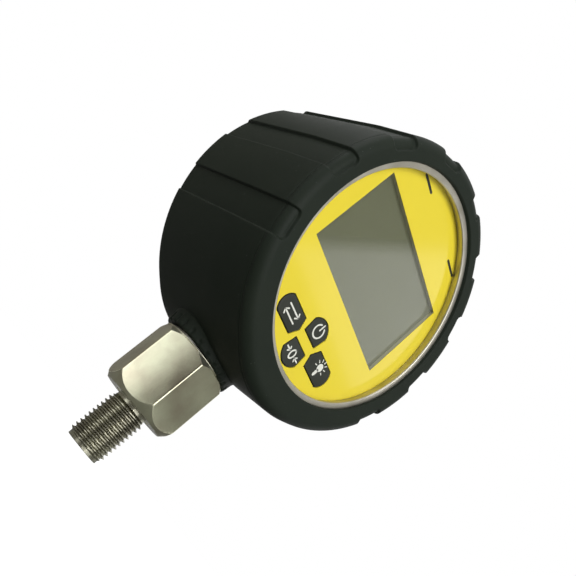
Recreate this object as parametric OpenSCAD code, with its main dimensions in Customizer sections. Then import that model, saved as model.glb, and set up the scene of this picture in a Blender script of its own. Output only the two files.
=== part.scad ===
// Digital pressure gauge with a rubber boot and a bottom thread.
// Millimetres, +Z up, dial facing -Y, origin at the mouth of the pressure port.

/* [Dial and case] */
// Outer radius of the steel case
case_r = 42; // [40:0.5:48]
// Wall of the steel case
case_t = 1.2; // [0.8:0.1:1.4]
// Width of the flange at the back of the case
flange_w = 8.6; // [8:0.1:9]
// Distance from the stem's hexagon to the wall of the case
neck_l = 10.5; // [9.5:0.1:14]
// Room between the main board and the socket that takes the stem
socket_front_gap = 5.15; // [4:0.05:8]
// Room between that socket and the back of the case
socket_rear_gap = 6; // [5.5:0.1:9]
// Width of the bezel's lip, from the case's radius inwards
bezel_lip_w = 3.9; // [3.4:0.1:4.6]
// Depth of the bezel's lip in front of the dial
bezel_lip_t = 3.4; // [2.6:0.1:5]
// Radius of the round over on the bezel's inner edge
bezel_round = 1.2; // [0.6:0.1:1.6]
// How far the bezel's inner wall widens towards the dial
bezel_flare = 0.7; // [0.2:0.1:1]
// Thickness of the bezel's skirt round the case
bezel_skirt_t = 0.95; // [0.7:0.05:1.2]
// Length of the bezel's skirt behind the lip
bezel_skirt_l = 5.6; // [4:0.1:8]

/* [Rubber boot] */
// Thickness of the boot round the case, at the front
boot_wall = 6.1; // [5.2:0.1:7]
// How much smaller the boot's radius is at the rear rim
boot_taper = 1.2; // [0:0.1:1.6]
// Depth at which the boot starts to taper
boot_taper_start = 18; // [12:1:24]
// Width of the bezel's ring that shows inside the boot
bezel_show = 2; // [1.6:0.1:2.8]
// How far the boot's rear lip reaches in over the case
boot_rear_lip = 1.8; // [1:0.1:2]
// How far the boot stands in front of the bezel
boot_lip_t = 1; // [0.6:0.1:1.6]
// How far the boot's rear rim stands behind the case
boot_rim_t = 3.5; // [3.1:0.1:5]
// Radius of the boot's rounded front edge
boot_front_round = 3.6; // [2:0.1:4]
// Radius of the boot's rounded rear edge
boot_rear_round = 1.2; // [0.6:0.1:2]
// How much tighter the curve of the boot's thicker lower part is
swell_in = 8; // [5.6:0.2:9]
// How far that lower part reaches below the drum
swell_drop = 1.4; // [1:0.1:3]
// Width of each grip channel
channel_w = 9.2; // [7:0.1:11]
// Depth of each grip channel
channel_deep = 1; // [0.8:0.05:1.6]
// Rubber left between the channels' front ends and the bezel
channel_end_wall = 0.85; // [0.4:0.05:1.2]
// Corner radius of the channels' front ends
channel_corner = 2; // [1:0.1:3]
// Number of grip channels
channel_n = 9; // [5:2:9]
// Angle between neighbouring channels
channel_pitch = 28.5; // [24:0.5:29]

/* [Boot collar] */
// Wall of the collar round the stem at its lower end
collar_wall = 2.7; // [2.4:0.1:3.5]
// How much wider the collar is where it meets the drum
collar_flare = 0.8; // [0.4:0.1:1.6]
// Number of grooves round the collar
groove_n = 22; // [16:1:26]
// Width of each groove
groove_w = 0.9; // [0.5:0.05:1.6]
// Depth of each groove, measured at the collar's top
groove_deep = 1.4; // [1.1:0.05:2]

/* [Dial face] */
// Thickness of the printed overlay
overlay_t = 0.5; // [0.4:0.05:1]
// Width of the strip left between the window and the bezel at each side
window_side = 8.65; // [8.4:0.05:13]
// Height of the panel above the window
window_top = 17.55; // [17.2:0.05:20]
// Height of the panel between the window and the power key
window_low = 7.6; // [6.5:0.1:9]
// Thickness of the carrier plate behind the overlay
carrier_t = 2.15; // [1.8:0.05:3]

/* [Keys] */
// Height of the key cluster's middle above the panel's lower edge
cluster_up = 10.8; // [10.4:0.1:12]
// Height of the two side keys
side_key_h = 7.1; // [6:0.1:8]
// Distance from the middle line to the pointed tip of a side key
side_key_in = 5.5; // [5.2:0.1:6.5]
// Length of a side key from its tip to its rounded end
side_key_l = 13.8; // [12:0.1:14.5]
// Length of the pointed tip of a side key
side_key_point = 1.7; // [1:0.1:2.4]
// Rise of the rounded end of a side key
side_key_bulge = 2.1; // [1.4:0.1:3]
// Width of the middle keys at their widest
mid_key_w = 9.8; // [8.6:0.1:10.4]
// Width of the middle keys at their flat edge
mid_key_flat_w = 8.4; // [7:0.1:8.6]
// Height of the middle keys
mid_key_h = 7.4; // [6.8:0.1:8]
// Rise of the dome of the middle keys
mid_key_dome = 2.8; // [2:0.1:3.4]
// Gap between the flat edges of the middle keys
mid_key_gap = 3.5; // [2.6:0.1:4]
// How far the keys stand in front of the overlay
key_proud = 0.2; // [0.1:0.05:0.4]
// Travel of each key
key_travel = 0.35; // [0.2:0.05:0.5]
// Thickness of each key pad
key_t = 1.6; // [1.2:0.1:1.8]
// Gap round each key
key_gap = 0.2; // [0.15:0.05:0.3]
// Radius of the post behind each key
post_r = 1.6; // [1.2:0.1:2]

/* [Display and board] */
// How far the display glass reaches past the window on each side
glass_side = 2.05; // [1.5:0.05:2.2]
// How far the display glass reaches past the window at the bottom
glass_low = 3.4; // [2.5:0.1:3.6]
// How far the display glass reaches past the window at the top
glass_top = 2.4; // [2:0.1:2.5]
// Thickness of the display glass
glass_t = 2; // [1.6:0.1:2.6]
// Thickness of the light guide behind the display
light_t = 4; // [3:0.1:5]
// Wall of the display frame
frame_wall = 1; // [0.8:0.1:1.1]
// Thickness of the circuit boards
board_t = 1.6; // [1:0.1:2]
// Gap between the main circuit board and the case
board_gap = 1.2; // [0.8:0.1:2]
// Side of each square switch body
switch_w = 6; // [5:0.1:6.5]
// Height of each switch body
switch_h = 3.5; // [3:0.1:4]
// Radius of each switch button
button_r = 1.75; // [1.2:0.05:2]

/* [Batteries] */
// Radius of a battery cell
cell_r = 5.25; // [5:0.05:5.3]
// Room between the compartment's corners and the case's flange
box_gap = 1.07; // [0.8:0.01:1.4]
// Length of a cell's nub
nub_l = 1; // [0.6:0.1:1.4]
// Radius of a cell's nub
nub_r = 1.9; // [1.4:0.1:2.5]
// Distance between neighbouring cells
cell_pitch = 10.9; // [10.7:0.05:11]
// Room for the contacts at each end of the cells
contact_room = 3.2; // [2.6:0.1:3.4]
// Wall of the battery compartment
box_wall = 1.5; // [1:0.1:1.6]
// Thickness of the foam under the battery door
foam_t = 2.4; // [1.5:0.1:3]

/* [Rear cover] */
// How much smaller the rear cover's radius is than the case's
cover_in = 2.5; // [2.4:0.1:3]
// Thickness of the rear cover
cover_t = 2.8; // [2.6:0.1:3]
// Depth of the recess that the battery door sits in
recess_deep = 2; // [1.6:0.1:2]
// How far the door reaches past the compartment on each side
door_over = 2.8; // [2.2:0.1:3]
// Corner radius of the battery door
door_corner = 3; // [2:0.1:4]
// Distance of each door screw from the compartment's outer wall
door_screw_gap = 3.25; // [3.1:0.05:3.4]
// How far the rear screws lie inside the case's radius
rear_screw_in = 5; // [4.8:0.1:5.2]
// Thickness of the door gasket
door_gasket_t = 0.6; // [0.4:0.05:0.8]
// How far the battery door lifts off
door_lift = 12; // [8:1:20]

/* [Stem] */
// Outer radius of the thread
thread_r = 7; // [6:0.25:7.5]
// Distance from one crest of the thread to the next
thread_step = 1.5; // [1:0.25:2]
// Length from the tip to the end of the threaded stretch
thread_l = 17.5; // [14:0.5:20]
// Length of the undercut above the thread
undercut_l = 1.3; // [0.8:0.1:2]
// Across flats size of the hexagon
hex_af = 25.5; // [24:0.5:27]
// Height of the hexagon
hex_h = 23.5; // [20:0.5:25]
// Angle by which the hexagon is turned
hex_turn = 3.7; // [0:0.1:30]
// Radius of the pressure port
port_r = 2; // [1.5:0.1:3]
// Radius of the stem's upper spigot
spigot_r = 9; // [8.5:0.1:9.5]
// How far the spigot reaches past the wall of the case
spigot_in = 3.2; // [2.6:0.1:4]
// Wall of the socket that is welded into the case
socket_wall = 2.5; // [2.2:0.1:3]

/* [Sensor] */
// Gap between the sensor capsule's flange and the socket's bore
capsule_gap = 1; // [0.6:0.1:1.2]
// Width of the rim that the capsule's flange has round its body
capsule_rim = 2; // [1.6:0.1:2.4]
// Thickness of the capsule's flange
capsule_flange_t = 1.55; // [1.2:0.05:2]
// Height of the capsule's body above its flange
capsule_body_h = 3; // [2.5:0.1:4]
// Radius of the sensor board
sensor_board_r = 8.5; // [8:0.1:9]
// Width of the ribbon from the sensor to the main board
ribbon_w = 8; // [5:0.5:10]

/* [Hidden] */
$fn = 96;

// Fits
cut_over = 2;            // overrun of cuts past a face
seat_gap = 0.05;         // gap between seated faces
ring_gap = 0.1;          // gap round nested rings and discs
slide_gap = 0.3;         // gap round pieces that lift off

// Radii of the nested rings and discs, all following the case and the spigot
case_in_r = case_r - case_t;
flange_in_r = case_r - flange_w;
face_r = case_r - ring_gap;
bezel_in_r = case_r - bezel_lip_w;
bezel_skirt_in_r = case_r + ring_gap;
bezel_out_r = bezel_skirt_in_r + bezel_skirt_t;
boot_r = case_r + boot_wall;
boot_front_r = bezel_in_r + bezel_show;
boot_rear_r = case_r - boot_rear_lip;
swell_r = boot_r - swell_in;
channel_end_r = bezel_out_r + ring_gap + channel_end_wall;
board_r = case_in_r - board_gap;
cover_r = case_r - cover_in;
rear_screw_ring_r = case_r - rear_screw_in;
socket_r = spigot_r + socket_wall;
collar_low_r = socket_r + collar_wall;
collar_top_r = collar_low_r + collar_flare;
capsule_r = spigot_r - capsule_gap;
capsule_body_r = capsule_r - capsule_rim;

// Depths behind the bezel's front, one layer after another
overlay_d = bezel_lip_t + seat_gap;
carrier_d = overlay_d + overlay_t;
carrier_back_d = carrier_d + carrier_t;
glass_d = carrier_back_d + seat_gap;
light_d = glass_d + glass_t + seat_gap;
board_d = light_d + light_t + seat_gap;
board_back_d = board_d + board_t;
gasket_t = 0.9;
case_front_d = carrier_back_d + 2 * seat_gap + gasket_t;
bezel_end_d = bezel_lip_t + bezel_skirt_l;
stem_setback = board_back_d + socket_front_gap + socket_r;
case_depth = stem_setback + socket_r + socket_rear_gap;
rim_d = case_depth + boot_rim_t;
cover_d = case_depth + ring_gap;
cover_back_d = cover_d + cover_t;
ledge_d = cover_back_d - recess_deep;
door_d = ledge_d + door_gasket_t + ring_gap;
cell_top_d = door_d - foam_t - slide_gap;
cell_d = cell_top_d - cell_r;
floor_d = cell_d - cell_r - ring_gap;
box_end_d = floor_d - box_wall;

// Window and key cluster, in the dial's own frame
cluster_down = bezel_in_r - cluster_up;
window_low_y = mid_key_gap / 2 + mid_key_h + window_low - cluster_down;
window_top_y = bezel_in_r - window_top;
window_w = 2 * (bezel_in_r - window_side);
window_h = window_top_y - window_low_y;
window_up = (window_top_y + window_low_y) / 2;

// Heights along the stem, from the tip up
hex_low_z = thread_l + undercut_l;
hex_top_z = hex_low_z + hex_h;
collar_low_z = hex_top_z + ring_gap;
dial_h = hex_top_z + neck_l + case_r;
spigot_l = neck_l + spigot_in;
spigot_top_z = hex_top_z + spigot_l;
washer_t = 0.8;
socket_low_z = hex_top_z + washer_t + 2 * seat_gap;
o_ring_in = 3;
o_ring_r = spigot_r - o_ring_in;
o_ring_thick_r = 0.8;
o_ring_seat = 0.7;
o_ring_z = spigot_top_z - o_ring_seat + o_ring_thick_r;
capsule_z = o_ring_z + o_ring_thick_r + seat_gap;
capsule_body_z = capsule_z + capsule_flange_t;
capsule_top_z = capsule_body_z + capsule_body_h;
socket_top_z = capsule_top_z + slide_gap;
sensor_pin_l = 1.8;
sensor_board_z = capsule_top_z + sensor_pin_l;
sensor_board_t = 1;
sensor_pin_r = 0.35;
sensor_pin_ring_r = 3.6;
sensor_pin_n = 4;

// Compartment for the cells, as wide as the case's flange lets it be
cell_n = 3;
box_in_y = cell_n * cell_pitch / 2;
box_corner_r = flange_in_r - box_gap;
box_out_x = sqrt(pow(box_corner_r, 2) - pow(box_in_y + box_wall, 2));
box_in_x = box_out_x - box_wall;
cell_l = 2 * (box_in_x - contact_room);
door_screw_x = box_out_x + door_screw_gap;
door_x = box_in_x + door_over;
door_y = box_in_y + door_over;
door_ear_r = 3.2;

// Screws, each as its shank radius, head radius, head height and length in this order
shank_r = 0;
head_r = 1;
head_h = 2;
reach_l = 3;
board_screw = [0.95, 2.1, 1.3, 6];
rear_screw = [1.2, 2, 1.2, 5.4];
door_screw = [1.1, 2.1, 1.05, 7];
screw_slot_w = 0.6;
screw_slot_share = 0.6;
screw_post_wall = 1.2;
rear_screw_n = 4;

// Bosses for the board's screws, placed in shares of the board's radius
boss_r = 2.6;
boss_shares = [[-0.33, 0.82], [0.33, 0.82], [-0.71, -0.54], [0.71, -0.54]];
boss_places = board_r * boss_shares;

// Places a child in the dial's own frame: x right, y up, z towards the viewer
module on_dial() {
    translate([0, -stem_setback, dial_h])
        rotate([90, 0, 0])
            children();
}

// Turns an outline drawn as radius and depth round the dial's axis
module turned() {
    rotate_extrude()
        mirror([0, 1])
            children();
}

// Places a child at each of the rear screws
module at_rear_screws() {
    for (i = [0:rear_screw_n - 1])
        rotate([0, 0, (i + 0.5) * 360 / rear_screw_n])
            translate([rear_screw_ring_r, 0, 0])
                children();
}

// Places a child at each of the two door screws
module at_door_screws() {
    for (s = [-1, 1])
        translate([s * door_screw_x, 0, 0])
            children();
}

// Extrudes an outline of the dial's plane from one depth to another
module slab(near_d, far_d) {
    translate([0, 0, -far_d])
        linear_extrude(far_d - near_d)
            children();
}

// A turned ring between two radii and two depths
module ring(in_r, out_r, near_d, far_d) {
    slab(near_d, far_d)
        difference() {
            circle(r = out_r);
            circle(r = in_r);
        }
}

// A rectangle with true round corners, centred
module round_rect(w, h, r) {
    square([w, h - 2 * r], center = true);
    square([w - 2 * r, h], center = true);
    for (sx = [-1, 1])
        for (sy = [-1, 1])
            translate([sx * (w / 2 - r), sy * (h / 2 - r)])
                circle(r = r);
}

// Solid outline of the boot, as radius and depth, inset from its front and its rear
module boot_outline(r, inset) {
    rear_r = r - boot_taper;
    front_d = inset - boot_lip_t;
    round_d = front_d + boot_front_round;
    rear_d = rim_d - inset;
    polygon([
        [0, front_d],
        [r - boot_front_round, front_d],
        [r, round_d],
        [r, boot_taper_start],
        [rear_r, rear_d - boot_rear_round],
        [rear_r - boot_rear_round, rear_d],
        [0, rear_d]
    ]);
    translate([r - boot_front_round, round_d])
        circle(r = boot_front_round);
    translate([rear_r - boot_rear_round, rear_d - boot_rear_round])
        circle(r = boot_rear_round);
}

// Everything that the boot is hollow for: dial opening, bezel, case and rear opening
module boot_hollow() {
    near_d = -boot_lip_t - cut_over;
    far_d = rim_d + cut_over;
    polygon([
        [0, near_d],
        [boot_front_r, near_d],
        [boot_front_r, 0],
        [bezel_out_r + ring_gap, 0],
        [bezel_out_r + ring_gap, bezel_end_d + ring_gap],
        [case_r + ring_gap, bezel_end_d + ring_gap],
        [case_r + ring_gap, case_depth + ring_gap],
        [boot_rear_r, case_depth + ring_gap],
        [boot_rear_r, far_d],
        [0, far_d]
    ]);
}

// Outline of the channels' floor, which follows the boot's front and side
module floor_outline() {
    r = boot_r - channel_deep;
    front_d = channel_deep - boot_lip_t;
    round_d = front_d + boot_front_round;
    far_d = rim_d + 2 * cut_over;
    slope = boot_taper / (rim_d - boot_taper_start);
    polygon([
        [0, front_d],
        [r - boot_front_round, front_d],
        [r, round_d],
        [r, boot_taper_start],
        [r - slope * (far_d - boot_taper_start), far_d],
        [0, far_d]
    ]);
    translate([r - boot_front_round, round_d])
        circle(r = boot_front_round);
}

// One grip channel, cut down to its floor
module boot_channel() {
    far_r = boot_r + cut_over;
    half_w = channel_w / 2;
    difference() {
        slab(-boot_lip_t - cut_over, rim_d + cut_over) {
            translate([-half_w, channel_end_r + channel_corner])
                square([channel_w, far_r - channel_end_r - channel_corner]);
            translate([channel_corner - half_w, channel_end_r])
                square([channel_w - 2 * channel_corner, far_r - channel_end_r]);
            for (s = [-1, 1])
                translate([s * (half_w - channel_corner), channel_end_r + channel_corner])
                    circle(r = channel_corner);
        }
        turned()
            floor_outline();
    }
}

// Collar round the stem, with its grooves
module boot_collar() {
    collar_h = dial_h - case_r - collar_low_z;
    difference() {
        translate([0, 0, collar_low_z])
            cylinder(r1 = collar_low_r, r2 = collar_top_r, h = collar_h);
        for (i = [0:groove_n - 1])
            rotate([0, 0, (i + 0.5) * 360 / groove_n])
                translate([collar_top_r - groove_deep, -groove_w / 2, collar_low_z - cut_over])
                    cube([groove_deep + cut_over, groove_w, collar_h + 2 * cut_over]);
    }
}

// Moulded rubber cover round the case and the top of the stem
module rubber_boot() {
    color([0.09, 0.1, 0.1])
        difference() {
            union() {
                on_dial() {
                    turned()
                        boot_outline(boot_r, 0);
                    translate([0, swell_r - boot_r - swell_drop, 0])
                        turned()
                            boot_outline(swell_r, ring_gap);
                }
                boot_collar();
            }
            on_dial() {
                turned()
                    boot_hollow();
                for (i = [0:channel_n - 1])
                    rotate([0, 0, (i - (channel_n - 1) / 2) * channel_pitch])
                        boot_channel();
            }
            translate([0, 0, collar_low_z - cut_over])
                cylinder(r = socket_r + ring_gap, h = dial_h - flange_in_r - collar_low_z);
        }
}

// Steel ring that clamps the dial on the case
module bezel_ring() {
    color([0.78, 0.77, 0.74])
        on_dial()
            turned() {
                polygon([
                    [bezel_in_r + bezel_round, 0],
                    [bezel_out_r, 0],
                    [bezel_out_r, bezel_end_d],
                    [bezel_skirt_in_r, bezel_end_d],
                    [bezel_skirt_in_r, bezel_lip_t],
                    [bezel_in_r + bezel_flare, bezel_lip_t],
                    [bezel_in_r, bezel_round]
                ]);
                translate([bezel_in_r + bezel_round, bezel_round])
                    circle(r = bezel_round);
            }
}

// Outline of the display window, grown by a gap
module window_outline(grow) {
    translate([0, window_up])
        square([window_w + 2 * grow, window_h + 2 * grow], center = true);
}

// Outline of a side key with its tip at the left, grown by a gap
module side_key_outline(grow) {
    h = side_key_h / 2;
    round_r = (h * h + side_key_bulge * side_key_bulge) / (2 * side_key_bulge);
    intersection() {
        polygon([
            [-grow, 0],
            [side_key_point, h + grow],
            [side_key_l + grow, h + grow],
            [side_key_l + grow, -h - grow],
            [side_key_point, -h - grow]
        ]);
        union() {
            translate([side_key_l - round_r, 0])
                circle(r = round_r + grow);
            translate([-grow, -h - grow])
                square([side_key_l + grow - round_r, side_key_h + 2 * grow]);
        }
    }
}

// Outline of a middle key with its flat edge at the bottom, grown by a gap
module mid_key_outline(grow) {
    w = mid_key_w / 2;
    flat_w = mid_key_flat_w / 2;
    shoulder = mid_key_h - mid_key_dome;
    dome_r = (w * w + mid_key_dome * mid_key_dome) / (2 * mid_key_dome);
    intersection() {
        polygon([
            [-flat_w - grow, -grow],
            [-w - grow, shoulder],
            [-w - grow, mid_key_h + grow],
            [w + grow, mid_key_h + grow],
            [w + grow, shoulder],
            [flat_w + grow, -grow]
        ]);
        translate([0, mid_key_h - dome_r])
            circle(r = dome_r + grow);
    }
}

// The four keys: 0 unit at the left, 1 power above, 2 zero below, 3 backlight at the right
module key_outline(i, grow) {
    translate([0, -cluster_down])
        if (i == 0)
            mirror([1, 0])
                translate([side_key_in, 0])
                    side_key_outline(grow);
        else if (i == 1)
            translate([0, mid_key_gap / 2])
                mid_key_outline(grow);
        else if (i == 2)
            mirror([0, 1])
                translate([0, mid_key_gap / 2])
                    mid_key_outline(grow);
        else
            translate([side_key_in, 0])
                side_key_outline(grow);
}

side_key_mid = side_key_in + side_key_l / 2;
mid_key_mid = (mid_key_gap + mid_key_h) / 2;
key_places = [
    [-side_key_mid, -cluster_down],
    [0, mid_key_mid - cluster_down],
    [0, -mid_key_mid - cluster_down],
    [side_key_mid, -cluster_down]
];
key_d = overlay_d - key_proud;
key_back_d = key_d + key_t;
switch_d = board_d - switch_h;
button_out = 1.4;
button_in = 1;
button_d = switch_d - button_out;

// Printed front panel with openings for the window and the keys
module dial_overlay() {
    color([0.93, 0.83, 0.3])
        on_dial()
            slab(overlay_d, carrier_d)
                difference() {
                    circle(r = face_r);
                    window_outline(seat_gap);
                    for (i = [0:3])
                        key_outline(i, key_gap);
                }
}

// Clear pane bonded in the overlay and the carrier
module lcd_window() {
    color([0.75, 0.8, 0.75, 0.4])
        on_dial()
            slab(overlay_d + seat_gap, carrier_back_d)
                window_outline(0);
}

// Plastic plate behind the overlay, with pockets for the keys and bosses for the board
module front_carrier() {
    pocket_d = key_back_d + key_travel + ring_gap;
    color([0.2, 0.2, 0.2])
        on_dial()
            difference() {
                union() {
                    slab(carrier_d, carrier_back_d)
                        circle(r = face_r);
                    for (p = boss_places)
                        translate(p)
                            slab(carrier_d, board_d - seat_gap)
                                circle(r = boss_r);
                }
                slab(carrier_d - cut_over, carrier_back_d + cut_over)
                    window_outline(seat_gap);
                for (i = [0:3]) {
                    slab(carrier_d - cut_over, pocket_d)
                        key_outline(i, key_gap);
                    translate(key_places[i])
                        slab(carrier_d, carrier_back_d + cut_over)
                            circle(r = post_r + key_gap);
                }
                for (p = boss_places)
                    translate(p)
                        slab(carrier_back_d, board_d + cut_over)
                            circle(r = board_screw[shank_r] + seat_gap);
            }
}

// Rubber ring between the carrier and the front edge of the case
module front_gasket() {
    color([0.15, 0.15, 0.15])
        on_dial()
            ring(case_in_r + seat_gap, case_r - seat_gap, glass_d, case_front_d - seat_gap);
}

// One key pad with the post that presses its switch
module key_pad(i) {
    color([0.17, 0.18, 0.17])
        on_dial() {
            slab(key_d, key_back_d)
                key_outline(i, 0);
            translate(key_places[i])
                slab(key_back_d, button_d)
                    circle(r = post_r);
        }
}

// The moving button of one tactile switch
module switch_button(i) {
    color([0.1, 0.1, 0.1])
        on_dial()
            translate(key_places[i])
                slab(button_d, switch_d + button_in)
                    circle(r = button_r);
}

// The fixed body of one tactile switch
module switch_body(i) {
    color([0.25, 0.25, 0.27])
        on_dial()
            translate(key_places[i])
                difference() {
                    slab(switch_d, board_d)
                        square(switch_w, center = true);
                    slab(switch_d - cut_over, switch_d + button_in + key_travel + ring_gap)
                        circle(r = button_r + ring_gap);
                }
}

// Outline of the display glass, grown by a gap
module glass_outline(grow) {
    w = window_w + 2 * glass_side;
    low = window_low_y - glass_low;
    high = window_top_y + glass_top;
    translate([-w / 2 - grow, low - grow])
        square([w + 2 * grow, high - low + 2 * grow]);
}

// Outline of the light guide, grown by a gap
light_in = 2;
ledge_h = 3.2;
module light_outline(grow) {
    w = window_w + 2 * glass_side - 2 * light_in;
    low = window_low_y - glass_low + light_in;
    high = window_top_y + glass_top - ledge_h;
    translate([-w / 2 - grow, low - grow])
        square([w + 2 * grow, high - low + 2 * grow]);
}

// Outline of the conductive rubber strip under the display's top ledge
strip_w = 2.2;
strip_in = 3.5;
module strip_outline(grow) {
    w = window_w + 2 * glass_side - 2 * strip_in;
    high = window_top_y + glass_top - seat_gap;
    translate([-w / 2 - grow, high - strip_w - grow])
        square([w + 2 * grow, strip_w + 2 * grow]);
}

// Liquid crystal display
module lcd_glass() {
    color([0.55, 0.56, 0.48])
        on_dial()
            slab(glass_d, glass_d + glass_t)
                glass_outline(0);
}

// Plastic frame that holds the display on the board
frame_corner = 2.5;
module lcd_frame() {
    w = window_w + 2 * glass_side + 2 * (frame_wall + ring_gap);
    h = window_h + glass_low + glass_top + 2 * (frame_wall + ring_gap);
    mid = window_up + (glass_top - glass_low) / 2;
    color([0.85, 0.85, 0.82])
        on_dial()
            difference() {
                slab(glass_d, board_d - seat_gap)
                    translate([0, mid])
                        round_rect(w, h, frame_corner);
                slab(glass_d - cut_over, light_d)
                    glass_outline(ring_gap);
                slab(glass_d, board_d + cut_over) {
                    light_outline(ring_gap);
                    strip_outline(ring_gap);
                }
            }
}

// Light guide behind the display
module backlight_panel() {
    color([0.95, 0.95, 0.9])
        on_dial()
            slab(light_d, board_d - seat_gap)
                light_outline(0);
}

// Conductive rubber strip between the display and the board
module elastomer_strip() {
    color([0.3, 0.3, 0.32])
        on_dial()
            slab(light_d, board_d - seat_gap)
                strip_outline(0);
}

// Places of the two battery leads, one at each end of the compartment
lead_r = 0.6;
lead_x = box_in_x - 2 * lead_r;
lead_places = [[-lead_x, cell_pitch], [lead_x, -cell_pitch]];

// Round circuit board that carries the display, the switches and the electronics
module main_board() {
    color([0.1, 0.35, 0.18])
        on_dial()
            slab(board_d, board_back_d)
                difference() {
                    circle(r = board_r);
                    for (p = boss_places)
                        translate(p)
                            circle(r = board_screw[shank_r] + ring_gap);
                    for (p = lead_places)
                        translate(p)
                            circle(r = lead_r + ring_gap);
                }
}

// Chips on the back of the board: place, then width and height, in shares of its radius
chip_t = 1.4;
chip_shares = [
    [[0, 0.3], [0.25, 0.25]],
    [[-0.4, 0.1], [0.15, 0.2]],
    [[0.38, 0.13], [0.18, 0.13]],
    [[0, 0.66], [0.2, 0.1]]
];
module board_chips() {
    color([0.08, 0.08, 0.09])
        on_dial()
            for (c = chip_shares)
                translate(board_r * c[0])
                    slab(board_back_d, board_back_d + chip_t)
                        square(board_r * c[1], center = true);
}

// Sockets on the back of the board, for the sensor's ribbon and for setting up
connector_h = 3.2;
connector_l = 5;
ribbon_up = 12;
setup_w = 12;
setup_h = 4;
setup_place_share = [0.42, -0.72];
module board_connectors() {
    color([0.9, 0.88, 0.8])
        on_dial() {
            translate([0, -ribbon_up])
                slab(board_back_d, board_back_d + connector_h)
                    square([ribbon_w + connector_l / 2, connector_l], center = true);
            translate(board_r * setup_place_share)
                slab(board_back_d, board_back_d + connector_h)
                    square([setup_w, setup_h], center = true);
        }
}

// A pan head screw with a cross recess, head on top, reaching down from z = 0
module pan_screw(screw) {
    slot_l = 2 * screw[head_r] * screw_slot_share;
    translate([0, 0, -screw[reach_l]])
        cylinder(r = screw[shank_r], h = screw[reach_l]);
    difference() {
        cylinder(r = screw[head_r], h = screw[head_h]);
        for (a = [0, 90])
            rotate([0, 0, a])
                translate([0, 0, screw[head_h]])
                    cube([slot_l, screw_slot_w, screw[head_h]], center = true);
    }
}

// Four screws that hold the board on the carrier's bosses
module board_screws() {
    color([0.75, 0.75, 0.72])
        on_dial()
            for (p = boss_places)
                translate([p[0], p[1], -board_back_d])
                    mirror([0, 0, 1])
                        pan_screw(board_screw);
}

// Steel tube with an inward flange at the rear
module case_shell() {
    color([0.72, 0.72, 0.7])
        difference() {
            on_dial()
                difference() {
                    union() {
                        ring(case_in_r, case_r, case_front_d, case_depth);
                        ring(flange_in_r, case_r, case_depth - case_t, case_depth);
                    }
                    at_rear_screws()
                        slab(case_depth - case_t - cut_over, case_depth + cut_over)
                            circle(r = rear_screw[shank_r] + seat_gap);
                }
            translate([0, 0, hex_top_z])
                cylinder(r = socket_r + seat_gap, h = dial_h - hex_top_z - flange_in_r);
        }
}

// Flat sealing ring in the groove of the rear cover
rear_gasket_in = 0.6;
rear_gasket_in_r = flange_in_r + rear_gasket_in;
rear_gasket_w = 1.2;
rear_gasket_t = 0.75;
module rear_gasket() {
    color([0.6, 0.2, 0.15])
        on_dial()
            ring(rear_gasket_in_r, rear_gasket_in_r + rear_gasket_w,
                case_depth + seat_gap, case_depth + seat_gap + rear_gasket_t);
}

// Outline of the battery door, grown by a gap
module door_outline(grow) {
    round_rect(2 * (door_x + grow), 2 * (door_y + grow), door_corner + grow);
    at_door_screws()
        circle(r = door_ear_r + grow);
}

// Plastic cover with the battery compartment moulded on its inner side
cover_round = 0.8;
module rear_cover() {
    color([0.13, 0.14, 0.14])
        on_dial()
            difference() {
                union() {
                    turned() {
                        polygon([
                            [0, cover_d],
                            [cover_r, cover_d],
                            [cover_r, cover_back_d - cover_round],
                            [cover_r - cover_round, cover_back_d],
                            [0, cover_back_d]
                        ]);
                        translate([cover_r - cover_round, cover_back_d - cover_round])
                            circle(r = cover_round);
                    }
                    slab(box_end_d, cover_back_d - recess_deep)
                        square([2 * (box_in_x + box_wall), 2 * (box_in_y + box_wall)], center = true);
                    at_door_screws()
                        slab(ledge_d - door_screw[reach_l] - box_wall, ledge_d)
                            circle(r = door_screw[shank_r] + slide_gap + screw_post_wall);
                }
                slab(floor_d, cover_back_d + cut_over)
                    square([2 * box_in_x, 2 * box_in_y], center = true);
                slab(ledge_d, cover_back_d + cut_over)
                    door_outline(slide_gap);
                at_door_screws()
                    slab(ledge_d - door_screw[reach_l], cover_back_d)
                        circle(r = door_screw[shank_r] + slide_gap);
                for (p = lead_places)
                    translate(p)
                        slab(box_end_d - cut_over, floor_d + cut_over)
                            circle(r = lead_r + ring_gap);
                at_rear_screws() {
                    slab(cover_d - cut_over, cover_back_d)
                        circle(r = rear_screw[shank_r] + ring_gap);
                    slab(cover_back_d - rear_screw[head_h], cover_back_d + cut_over)
                        circle(r = rear_screw[head_r] + ring_gap);
                }
                ring(rear_gasket_in_r - seat_gap, rear_gasket_in_r + rear_gasket_w + seat_gap,
                    cover_d - cut_over, case_depth + 2 * seat_gap + rear_gasket_t);
            }
}

// Four screws that hold the rear cover on the case's flange
module rear_screws() {
    color([0.7, 0.7, 0.68])
        on_dial()
            at_rear_screws()
                translate([0, 0, rear_screw[head_h] - cover_back_d])
                    rotate([180, 0, 0])
                        pan_screw(rear_screw);
}

// One cell along x, with its nub to the right when dir is 1
module cell(dir, shell) {
    color(shell)
        on_dial()
            translate([0, 0, -cell_d])
                rotate([0, 90 * dir, 0]) {
                    translate([0, 0, -cell_l / 2])
                        cylinder(r = cell_r, h = cell_l - nub_l);
                    translate([0, 0, cell_l / 2 - nub_l])
                        cylinder(r = nub_r, h = nub_l);
                }
}

module cell_top() {
    translate([0, 0, cell_pitch])
        cell(1, [0.2, 0.3, 0.55]);
}

module cell_middle() {
    cell(-1, [0.2, 0.3, 0.55]);
}

module cell_bottom() {
    translate([0, 0, -cell_pitch])
        cell(1, [0.2, 0.3, 0.55]);
}

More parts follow.
